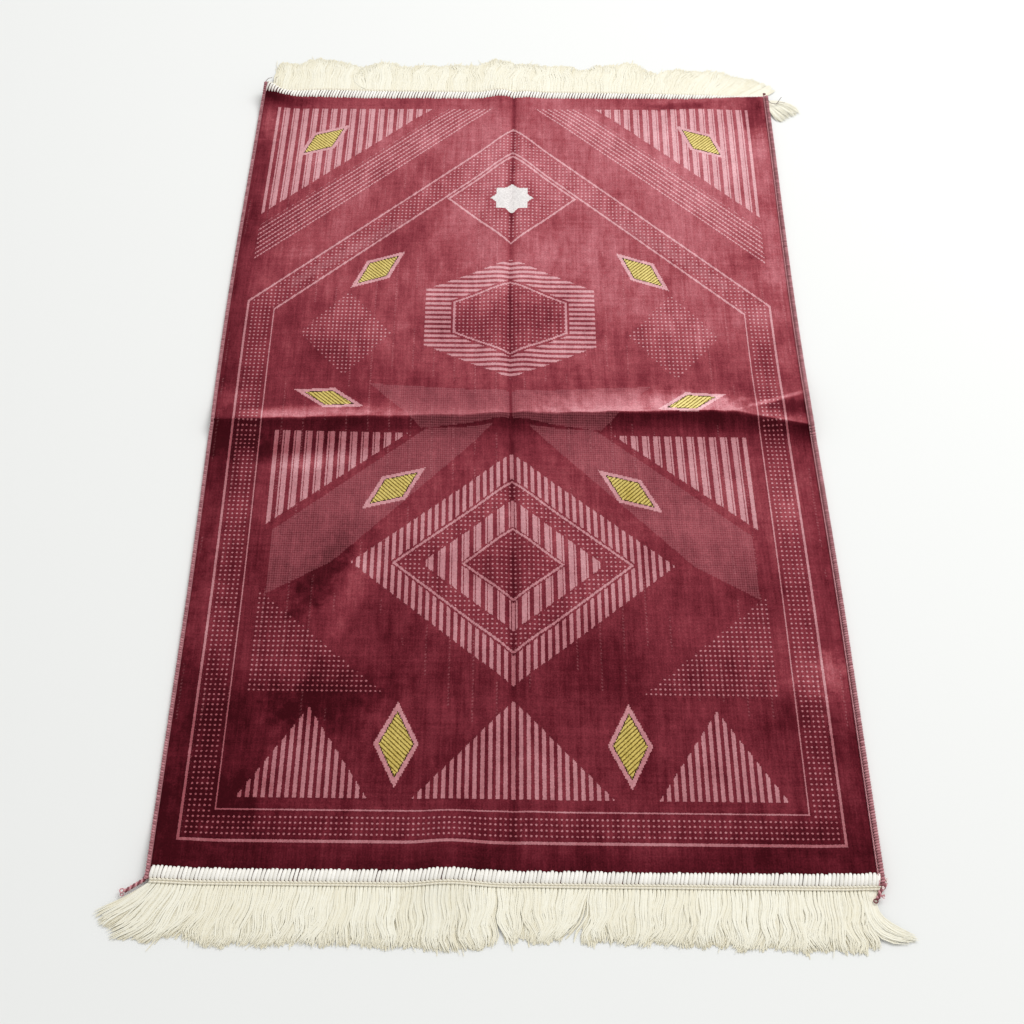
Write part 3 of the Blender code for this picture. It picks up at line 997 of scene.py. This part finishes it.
for side, name in ((-1, "left"), (1, "right")):
    rng = random.Random("overlock " + name)
    strands = {"dyed": ([], [], []), "undyed": ([], [], [])}
    dyed = strands["dyed"]
    girth = BINDING_GIRTH[name]

    # The core, from one end of the rug to the other.
    foot = FOOT_EDGE - GAP - BAND_WIDTH
    head = HEAD_EDGE + GAP + BAND_WIDTH
    core = []
    for step in range(CORE_STEPS + 1):
        core.append(binding_middle(side, foot + (head - foot) * step / CORE_STEPS))
    inward = Vector((-CORE_INWARD * side, 0, 0))
    filling = [place + inward for place in core]
    radii = [BINDING_RADIUS * girth] * len(core)
    spin(dyed, filling, radii, UP, CORE_PAINTED_SHADE_TONE, 10, CORE_FLATNESS)

    # The loops over it, each with its link of the chain.
    shown = LOOP_ROUTE[BURIED_STEPS:] if side < 0 else LOOP_ROUTE
    for loop in range(int((head - foot) / LOOP_PITCH)):
        v = foot + LOOP_PITCH * (loop + 0.5 + uneven(rng, LOOP_SHIFT_UNEVEN))
        middle = binding_middle(side, v)
        slack = girth * (1.0 + uneven(rng, LOOP_SIZE_UNEVEN))
        tone = rng.uniform(*LOOP_TONES)
        route = []
        for step, (out, above, radius) in enumerate(shown):
            slip = LOOP_LEAN * (step / (len(shown) - 1) - 0.5)
            route.append(middle + Vector((side * out * slack, slip, above * slack)))
        radii = [radius for out, above, radius in shown]
        spin(dyed, route, radii, Vector((0, side, 0)), tone, 6, LOOP_FLATNESS)
        if side > 0:
            route = [middle + Vector((-back, along, above)) for back, along, above in LINK_ROUTE]
            spin(dyed, route, LINK_RADII, UP, rng.uniform(*LINK_TONES), 5)

    # The tail past the foot's corner.
    corners = [core[0] + Vector(TAIL_LEAVES), core[0]]
    corners += [Vector(corner) for corner in TAIL[name]]
    middle = eased_curve(corners, STRAND_TWIST / TURN_STEPS)
    last = len(middle) - 1
    for start, tone in TAIL_STRANDS:
        route = []
        for step, point in enumerate(middle):
            ahead = middle[min(step + 1, last)] - middle[max(step - 1, 0)]
            beside = ahead.cross(UP).normalized()
            angle = start + 2 * math.pi * step / TURN_STEPS
            around = beside * math.cos(angle) + UP * math.sin(angle)
            route.append(point + STRAND_OUT * around)
        spin(dyed, route, [STRAND_RADIUS] * len(route), UP, tone, 7)
    for thread, *ring in LOOSE_RINGS[name]:
        ring_of(strands[thread], *ring)
    for (thread, radius, tone), corners in LOOSE_THREADS[name]:
        route = eased_curve([Vector(corner) for corner in corners], LOOSE_SPACING)
        spin(strands[thread], route, [radius] * len(route), UP, tone, 6)

    points, faces, tones = dyed
    dyed_faces = len(faces)
    end_points, end_faces, end_tones = strands["undyed"]
    faces += [tuple(len(points) + corner for corner in face) for face in end_faces]
    points += end_points
    tones += end_tones
    binding = mesh_piece("side_overlock_loops_" + name, points, faces, tones)
    binding.data.materials.append(rose_thread)
    binding.data.materials.append(bare_thread)
    for face in binding.data.polygons[dyed_faces:]:
        face.material_index = 1
    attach(binding, "root")
    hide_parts("side_overlock_" + name)

# ------------------------------------------------------------------------------------------
# The end overlocks. Each cut end is whipped with thick white thread: a row of slanted stitches
# side by side over the bare ground weave, which shows dark where two of them part.
# ------------------------------------------------------------------------------------------
STITCHES = 178
STITCH_PITCH = 2 * CLOTH_HALF_WIDTH / STITCHES
STITCH_ROUTE = (  # share of the way out over the band, height, thread radius
    (-0.08, 0.0012, 0.00080),
    (0.01, 0.0027, 0.00150),
    (0.16, 0.0034, 0.00184),
    (0.45, 0.0036, 0.00192),
    (0.78, 0.0033, 0.00192),
    (0.97, 0.0022, 0.00184),
    (1.06, 0.0010, 0.00150),
)
STITCH_FLATNESS = (1.0, 0.62)
STITCH_TONES = (0.70, 0.95)
STITCH_SHIFT_UNEVEN = 0.00030
STITCH_LEAN_UNEVEN = 0.20
BITE_UNEVEN = 0.0014  # how much further in one stitch goes than another
PARTED_WIDTH = 0.84  # of a stitch that leaves a gap beside it
FULL_WIDTHS = (0.98, 1.06)  # of the others
STITCHED_ENDS = (  # name, near edge, way out, start, length, lean, girth, share that is parted
    ("head", HEAD_EDGE + GAP, 1, 0.0002, 0.0133, 0.0032, 0.82, 0.30),
    ("foot", FOOT_EDGE - GAP, -1, 0.0028, 0.0098, 0.0024, 0.97, 0.22),
)
WEAVE_STEPS = 120
WEAVE_SECTION = ((0.0, 0.0002), (1.0, 0.0002), (1.0, 0.0014), (0.0, 0.0020))  # share out, height

# Thick spun polyester thread: matt white, faintly shaded between its fibres, which are drawn
# 1.4 mm apart so that they show.
white_thread = thread_material("white_spun_thread", "#c9c5b9", "#f8f5ee", 0.8, 700.0, 0.4)

for name, near, outward, covered, length, stitch_lean, girth, parted_share in STITCHED_ENDS:
    rng = random.Random("end overlock " + name)
    stitches = ([], [], [])
    for stitch in range(STITCHES):
        u = -CLOTH_HALF_WIDTH + STITCH_PITCH * (stitch + 0.5) + uneven(rng, STITCH_SHIFT_UNEVEN)
        parted = rng.random() < parted_share
        width = girth * (PARTED_WIDTH if parted else rng.uniform(*FULL_WIDTHS))
        bite = BITE_UNEVEN * rng.random()
        turn = stitch_lean * (1.0 + uneven(rng, STITCH_LEAN_UNEVEN))
        route = []
        for out, above, radius in STITCH_ROUTE:
            at = near + outward * (covered + length * out - bite * (1 - out))
            route.append(lay(u + outward * turn * (out - 0.5), at, above))
        radii = [radius * width for out, above, radius in STITCH_ROUTE]
        spin(stitches, route, radii, UP, rng.uniform(*STITCH_TONES), 8, STITCH_FLATNESS)

    # The bare ground weave under them.
    points, faces, tones = stitches
    stitched = len(faces)
    first = len(points)
    for step in range(WEAVE_STEPS + 1):
        u = -CLOTH_HALF_WIDTH + 2 * CLOTH_HALF_WIDTH * step / WEAVE_STEPS
        for out, above in WEAVE_SECTION:
            points.append(lay(u, near + outward * BAND_WIDTH * out, above))
            tones.append(0.0)
    for step in range(WEAVE_STEPS):
        ring = first + 4 * step
        for corner in range(4):
            beside = (corner + 1) % 4
            quad = (ring + corner, ring + beside, ring + 4 + beside, ring + 4 + corner)
            faces.append(quad if outward < 0 else quad[::-1])
    end = first + 4 * WEAVE_STEPS
    caps = [(first + 3, first + 2, first + 1, first), (end, end + 1, end + 2, end + 3)]
    faces += caps if outward < 0 else [cap[::-1] for cap in caps]
    band = mesh_piece("end_overlock_stitches_" + name, points, faces, tones)
    band.data.materials.append(white_thread)
    band.data.materials.append(ground)
    for face in band.data.polygons[stitched:]:
        face.material_index = 1
        face.use_smooth = False
    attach(band, "root")
    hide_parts("end_overlock_" + name)

# ------------------------------------------------------------------------------------------
# The fringes. Two rows of small chain stitches hold bundles of fine cream viscose yarns along
# each end. The yarns lie as one soft swept mass of wavy locks with uneven ends, but for a lock
# apart at the foot's right corner and a tuft that has fallen round the head's.
# ------------------------------------------------------------------------------------------
HEADING_WIDTH = 0.0040
HEADING_ROWS = ((0.0004, 0.0027, 0.00), (0.0028, 0.0024, 0.08))  # out, height, start
HEADING_TONE = 0.85
KNOT_STEPS = 4
KNOT_RADII = (0.00048, 0.00120)  # between two knots, at a knot
KNOT_UNEVEN = 0.00008
KNOT_DIP = 0.0006  # how much lower the row is between two knots
# Strips of the yarns' roots packed flat under the heading, darker than the chain as painted shade
# in the gaps between the bundles and between the rows.
ROOT_STRIPS = ((0.0018, 0.0019, 0.0018), (0.0052, 0.0020, 0.0004))  # out, half width, height
ROOT_STRIP_STEPS = 120
ROOT_STRIP_PAINTED_SHADE = 0.45
ROOT_STRIP_FLATNESS = (1.0, 0.25)

FOOT_FLOW = (  # u of the roots, how far the tips sweep sideways, how far they reach, bend
    (-0.3353, -0.0400, 0.030, 1.05),
    (-0.3290, -0.0430, 0.041, 1.2),
    (-0.3200, -0.0380, 0.049, 1.5),
    (-0.3000, -0.0280, 0.052, 1.6),
    (-0.2840, -0.0200, 0.049, 1.6),
    (-0.2830, -0.0080, 0.053, 1.5),
    (-0.2600, -0.0130, 0.056, 1.5),
    (-0.1700, -0.0110, 0.054, 1.5),
    (-0.1100, -0.0010, 0.056, 1.6),
    (-0.0500, 0.0030, 0.058, 1.8),
    (-0.0190, -0.0070, 0.054, 1.6),
    (-0.0175, 0.0085, 0.050, 1.6),
    (0.0050, 0.0040, 0.048, 1.5),
    (0.0400, -0.0120, 0.051, 1.5),
    (0.0660, -0.0240, 0.046, 1.3),
    (0.0675, -0.0060, 0.050, 1.5),
    (0.1300, -0.0110, 0.051, 1.5),
    (0.2200, -0.0080, 0.055, 1.6),
    (0.2700, -0.0010, 0.056, 1.7),
    (0.3000, 0.0040, 0.057, 1.9),
    (0.3240, -0.0030, 0.055, 1.6),
)
HEAD_FLOW = (
    (-0.3290, 0.0010, 0.050, 1.4),
    (-0.3180, 0.0010, 0.062, 1.5),
    (-0.2990, 0.0020, 0.058, 1.5),
    (-0.2830, 0.0010, 0.067, 1.6),
    (-0.2450, 0.0030, 0.063, 1.6),
    (-0.2290, 0.0040, 0.052, 1.5),
    (-0.2080, -0.0080, 0.049, 1.4),
    (-0.1860, -0.0010, 0.059, 1.5),
    (-0.1500, 0.0020, 0.052, 1.5),
    (-0.0640, 0.0030, 0.055, 1.6),
    (-0.0260, 0.0030, 0.067, 1.7),
    (0.0050, 0.0040, 0.058, 1.6),
    (0.0600, 0.0050, 0.055, 1.5),
    (0.0850, 0.0060, 0.049, 1.5),
    (0.1120, 0.0070, 0.057, 1.6),
    (0.1420, 0.0090, 0.065, 1.6),
    (0.1780, 0.0130, 0.045, 1.5),
    (0.2000, 0.0170, 0.052, 1.4),
    (0.2450, 0.0260, 0.051, 1.3),
    (0.2800, 0.0320, 0.039, 1.2),
    (0.3050, 0.0300, 0.029, 1.1),
    (0.3353, 0.0120, 0.018, 1.0),
)
FRINGED_ENDS = (  # name, near edge, way out, flow
    ("head", HEAD_EDGE + 2 * GAP + BAND_WIDTH, 1, HEAD_FLOW),
    ("foot", FOOT_EDGE - 2 * GAP - BAND_WIDTH, -1, FOOT_FLOW),
)

# The yarns of one bundle, and how a yarn runs at the shares of its reach in YARN_STEPS.
BUNDLE_YARNS = 26
FLOOR_YARNS = 7  # of each bundle, fanned out wide under the rest
BUNDLE_SPREAD = 0.46  # of the stitches' pitch, to either side
YARN_STEPS = (0.0, 0.06, 0.15, 0.27, 0.40, 0.54, 0.69, 0.85, 1.0)
MASS_THICK = (0.0012, 0.0018, 0.0021, 0.0023, 0.0025, 0.0026, 0.0026, 0.0024, 0.0018)
YARN_TAPER = (0.80, 0.95, 1.05, 1.10, 1.10, 1.05, 1.00, 0.80, 0.30)
YARN_GATHERED = (0.62, 0.72, 0.92, 1.0, 1.0, 1.0, 1.0, 1.0, 1.0)  # a bundle's width there
HEAD_FLATNESS = 0.55  # how thick the head's mass is beside the foot's
YARN_RADIUS = 0.00042
FLOOR_YARN_FLATNESS = (3.2, 0.22)
YARN_FLATNESS = (1.8, 0.22)
ROOT_TUCK = 0.0010  # how far in under the heading a yarn starts

# The locks that they lie in, and how uneven they are.
SHEETS = 4  # of yarns over one another, each parted into locks of its own
LOCK_WIDTHS = (0.007, 0.020)
LOCK_GATHERS = (-0.1, 0.5)  # how far its yarns draw together at their tips, as a share
LOCK_LEAN = 0.0026  # spread of how far its tips lie to one side
LOCK_CURLS = (0.0012, 0.0034)  # height of its waves
LOCK_PHASE = 0.9  # spread of where its waves start, in radians
LOW_LEAN = 0.4  # of a lock's lean, at the floor; it grows towards the top
LOW_CURL = 0.5  # of its waves, likewise
CURL_LENGTH = 0.036  # of one wave along a yarn
CURL_DRIFT = 0.110  # along the rug's end, over which the waves come round once
CURL_UNEVEN = 0.3  # spread of where each yarn's own waves start, in radians
RAGGED_WAVES = ((0.0058, 0.0006), (0.0170, 0.0014), (0.0470, 0.0014))  # length, height
RAGGED_SHIFT = 0.004  # between the waves of the lowest yarns and of the highest
SWEEP_UNEVEN = 0.0008
REACH_UNEVEN = 0.0022
REACH_LOW = 1.04  # of the floor's yarns; those on top end up to REACH_LOSS sooner
REACH_LOSS = 0.10
SHORT_YARNS = 0.04  # share of all
SHORT_REACHES = (0.60, 0.95)
LONG_YARNS = 0.008  # share of all
LONG_REACHES = (1.05, 1.16)
LONG_SWEEP = 0.006
BEND_FALL = 0.6  # how far a yarn that bends runs out before it turns
LOW_SHADE_TONE = 0.24
PAINTED_LIGHT_RISE = 0.38  # from the floor to the top: the lower yarns are darker as painted shade within the mass
TONE_UNEVEN = 0.20
TONE_GATHERED = 0.45  # in a lock that draws together fully

# The locks that lie apart, and a twist on the head's left.
STRAY_LOCKS = {  # how many yarns, their outer edge, their inner one, each a curve's four corners
    "head": (
        (
            130,
            (
                (0.338, 0.5370, 0.0030),
                (0.352, 0.5390, 0.0050),
                (0.373, 0.5330, 0.0040),
                (0.381, 0.5170, 0.0015),
            ),
            (
                (0.337, 0.5300, 0.0030),
                (0.338, 0.5160, 0.0040),
                (0.342, 0.5020, 0.0030),
                (0.353, 0.4960, 0.0012),
            ),
        ),
        (
            26,
            (
                (-0.200, 0.5480, 0.0020),
                (-0.226, 0.5560, 0.0020),
                (-0.226, 0.5840, 0.0020),
                (-0.206, 0.5880, 0.0017),
            ),
            (
                (-0.203, 0.5480, 0.0020),
                (-0.212, 0.5580, 0.0020),
                (-0.214, 0.5740, 0.0020),
                (-0.205, 0.5780, 0.0017),
            ),
        ),
    ),
    "foot": (
        (
            84,
            (
                (0.331, -0.5670, 0.0030),
                (0.322, -0.5920, 0.0040),
                (0.337, -0.6000, 0.0036),
                (0.363, -0.6100, 0.0020),
            ),
            (
                (0.318, -0.5670, 0.0030),
                (0.314, -0.5980, 0.0036),
                (0.319, -0.6200, 0.0030),
                (0.361, -0.6140, 0.0014),
            ),
        ),
    ),
}
STRAY_REACHES = (0.84, 1.0)  # share of the curve that a yarn runs along
STRAY_SPREAD = (0.0012, 0.0012, 0.0006)  # of the tips, along each axis
STRAY_WAVE = 0.0006
STRAY_WAVE_TURN = 7  # radians, from root to tip
STRAY_TONES = (0.70, 1.00)
LOWEST_YARN = 0.0006  # its middle, above the floor


def flow_at(flow, u):
    """Sweep, reach and bend at u, eased between the rows of the flow table."""
    u = min(max(u, flow[0][0]), flow[-1][0])
    before, after = next(pair for pair in zip(flow, flow[1:]) if u <= pair[1][0])
    share = eased((u - before[0]) / (after[0] - before[0]))
    return [a + (b - a) * share for a, b in zip(before[1:], after[1:])]


def split_into_locks(rng):
    """One sheet's locks: where each ends, its middle, how it gathers, leans and waves, and when."""
    locks = []
    end = -CLOTH_HALF_WIDTH
    while end < CLOTH_HALF_WIDTH:
        start = end
        end += rng.uniform(*LOCK_WIDTHS)
        gather = rng.uniform(*LOCK_GATHERS)
        lean = rng.gauss(0, LOCK_LEAN)
        curl = rng.uniform(*LOCK_CURLS)
        phase = 2 * math.pi * end / CURL_DRIFT + rng.gauss(0, LOCK_PHASE)
        locks.append((end, (start + end) / 2, gather, lean, curl, phase))
    return locks


def ripple(place, waves):
    """The sum of waves at a place, each given by its length, height and start."""
    total = 0.0
    for length, tall, start in waves:
        total += tall * math.sin(2 * math.pi * place / length + start)
    return total


def along_curve(corners, share):
    """The point at this share of a curve with these four corners."""
    left = 1 - share
    pulls = (left**3, 3 * left * left * share, 3 * left * share * share, share**3)
    return sum((Vector(corner) * pull for corner, pull in zip(corners, pulls)), Vector())


# Viscose yarn, spun loosely from long filaments: cream and silky. Its darker, yellower end is
# painted shade for the yarns down in the hollows.
cream_yarn = thread_material("cream_viscose_yarn", "#ddd3b3", "#efecdc", 0.55, 260.0, 0.1)
# The same yarn pulled tight in the chain stitches, where it looks a shade duller.
cream_chain = thread_material("cream_chain_thread", "#b4ab93", "#f3eddb", 0.7, 900.0, 0.4)

for name, near, outward, flow in FRINGED_ENDS:
    rng = random.Random("fringe " + name)
    root_v = near + outward * HEADING_WIDTH
    yarn_radii = [YARN_RADIUS * size for size in YARN_TAPER]

    # The heading: two rows of chain stitches, and the yarns' roots packed flat under them, darker
    # as painted shade.
    heading = ([], [], [])
    neck, full = KNOT_RADII
    for out, tall, shift in HEADING_ROWS:
        route, radii = [], []
        for step in range(KNOT_STEPS * STITCHES + 1):
            knot = step / KNOT_STEPS
            swell = 0.5 + 0.5 * math.cos(2 * math.pi * (knot + 0.5 + shift))
            u = -CLOTH_HALF_WIDTH + STITCH_PITCH * knot
            route.append(lay(u, near + outward * out, tall - KNOT_DIP * (1 - swell)))
            radii.append(neck + (full - neck) * swell + KNOT_UNEVEN * rng.random())
        spin(heading, route, radii, UP, HEADING_TONE, 6)
    for out, width, tall in ROOT_STRIPS:
        base = []
        for step in range(ROOT_STRIP_STEPS + 1):
            u = -CLOTH_HALF_WIDTH + 2 * CLOTH_HALF_WIDTH * step / ROOT_STRIP_STEPS
            base.append(lay(u, near + outward * out, tall))
        spin(heading, base, [width] * len(base), UP, ROOT_STRIP_PAINTED_SHADE, 8, ROOT_STRIP_FLATNESS)
    chain = mesh_piece("fringe_heading_" + name, *heading)
    chain.data.materials.append(cream_chain)

    # The yarns, bundle by bundle.
    sheets = [split_into_locks(rng) for sheet in range(SHEETS)]
    ragged = [(*wave, rng.uniform(0, 2 * math.pi)) for wave in RAGGED_WAVES]
    under, over = ([], [], []), ([], [], [])
    for bundle in range(STITCHES):
        middle = -CLOTH_HALF_WIDTH + STITCH_PITCH * (bundle + 0.5)
        if not flow[0][0] <= middle <= flow[-1][0]:
            continue
        for yarn in range(BUNDLE_YARNS):
            layer = (yarn + rng.random()) / BUNDLE_YARNS
            aside = STITCH_PITCH * rng.uniform(-BUNDLE_SPREAD, BUNDLE_SPREAD)
            u = middle + aside
            sweep, reach, bend = flow_at(flow, u)
            locks = sheets[int(SHEETS * layer)]
            lock = next(lock for lock in locks if u <= lock[0] or lock is locks[-1])
            lock_middle, gather, lean, curl, start = lock[1:]
            sweep += lean * (LOW_LEAN + layer) + rng.gauss(0, SWEEP_UNEVEN)
            reach += ripple(u + RAGGED_SHIFT * layer, ragged) - abs(rng.gauss(0, REACH_UNEVEN))
            reach *= REACH_LOW - REACH_LOSS * layer * rng.random()
            stray = rng.random()
            if stray < SHORT_YARNS:
                reach *= rng.uniform(*SHORT_REACHES)
            if stray > 1 - LONG_YARNS:
                reach *= rng.uniform(*LONG_REACHES)
                sweep += rng.gauss(0, LONG_SWEEP)
            start += rng.gauss(0, CURL_UNEVEN)
            curl *= LOW_CURL + layer
            fall = BEND_FALL * (bend - 1) * min(1.0, abs(sweep) / reach)
            root = lay(middle, root_v)
            route = []
            for share, thick, gathered in zip(YARN_STEPS, MASS_THICK, YARN_GATHERED):
                if outward > 0:  # the head's yarns lie flatter, and spread from their roots on
                    thick *= HEAD_FLATNESS
                    gathered = 1.0
                x = root.x + aside * gathered + sweep * share**bend
                x += (lock_middle - u) * gather * share**1.5
                x += curl * share * math.sin(2 * math.pi * share * reach / CURL_LENGTH + start)
                y = root.y + outward * (reach * share * (1 + fall - fall * share) - ROOT_TUCK)
                z = root.z * (1 - share) ** 2 + YARN_RADIUS + thick * layer
                route.append(Vector((x, y, z)))
            # Painted shade on the lower yarns, paler towards the top, with a tone of each lock's
            # own.
            tone = LOW_SHADE_TONE + PAINTED_LIGHT_RISE * layer + TONE_UNEVEN * rng.random()
            tone += TONE_GATHERED * gather
            strand = under if layer < 0.5 else over
            flatness = FLOOR_YARN_FLATNESS if yarn < FLOOR_YARNS else YARN_FLATNESS
            spin(strand, route, yarn_radii, UP, tone, 3, flatness)

    # The locks that lie apart.
    for count, outer, inner in STRAY_LOCKS[name]:
        for yarn in range(count):
            across = rng.random()
            short = rng.uniform(*STRAY_REACHES)
            loose = Vector([rng.gauss(0, spread) for spread in STRAY_SPREAD])
            start = rng.uniform(0, 2 * math.pi)
            route = []
            for share in YARN_STEPS:
                a = along_curve(outer, share * short)
                b = along_curve(inner, share * short)
                wave = STRAY_WAVE * share * math.sin(STRAY_WAVE_TURN * share + start)
                place = a + (b - a) * across + loose * share + wave * (b - a).normalized()
                place.z = max(place.z, LOWEST_YARN)
                route.append(place)
            spin(over, route, yarn_radii, UP, rng.uniform(*STRAY_TONES), 3, YARN_FLATNESS)

    pieces = [chain]
    for part, strand in (("under", under), ("over", over)):
        fringe = mesh_piece("fringe_yarns_" + name + "_" + part, *strand)
        fringe.data.shade_flat()
        fringe.data.materials.append(cream_yarn)
        pieces.append(fringe)
    for piece in pieces:
        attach(piece, "root")
        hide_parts("fringe_" + name)

# ------------------------------------------------------------------------------------------
# The floor, the light and the camera. A pale seamless floor under an even white room, a large
# soft lamp above and behind the head end, and a 52 mm lens looking down from past the foot end.
# ------------------------------------------------------------------------------------------
bpy.ops.mesh.primitive_plane_add(size=14)
floor = bpy.context.object
floor.name = "floor"
plain = bpy.data.materials.new("pale_painted_floor")
plain.use_nodes = True
plain.node_tree.nodes["Principled BSDF"].inputs["Base Color"].default_value = paint("#e8e9e7")
plain.node_tree.nodes["Principled BSDF"].inputs["Roughness"].default_value = 0.9
floor.data.materials.append(plain)

world = bpy.data.worlds.new("soft_room")
world.use_nodes = True
world.node_tree.nodes["Background"].inputs["Color"].default_value = paint("#ffffff")
world.node_tree.nodes["Background"].inputs["Strength"].default_value = 0.71
bpy.context.scene.world = world

lamp = bpy.data.lights.new("window", "AREA")
lamp.size = 2.4
lamp.energy = 94.0
lamp_object = bpy.data.objects.new("window", lamp)
bpy.context.scene.collection.objects.link(lamp_object)
lamp_object.location = (1.8, 1.5, 3.2)
towards_rug = -lamp_object.location
lamp_object.rotation_euler = towards_rug.to_track_quat("-Z", "Y").to_euler()

CAMERA_PLACE = (-0.032, -1.0774, 1.3117)
CAMERA_TURNS = ((-1.675, "Z"), (35.417, "X"), (2.163, "Z"))  # degrees: heading, tilt and roll

camera_data = bpy.data.cameras.new("camera")
camera_data.sensor_width = 36.0
camera_data.lens = 52.45
camera = bpy.data.objects.new("camera", camera_data)
bpy.context.scene.collection.objects.link(camera)
aim = Matrix.Translation(CAMERA_PLACE)
for degrees, axis in CAMERA_TURNS:
    aim = aim @ Matrix.Rotation(math.radians(degrees), 4, axis)
camera.matrix_world = aim
bpy.context.scene.camera = camera
bpy.context.scene.view_settings.view_transform = "Standard"
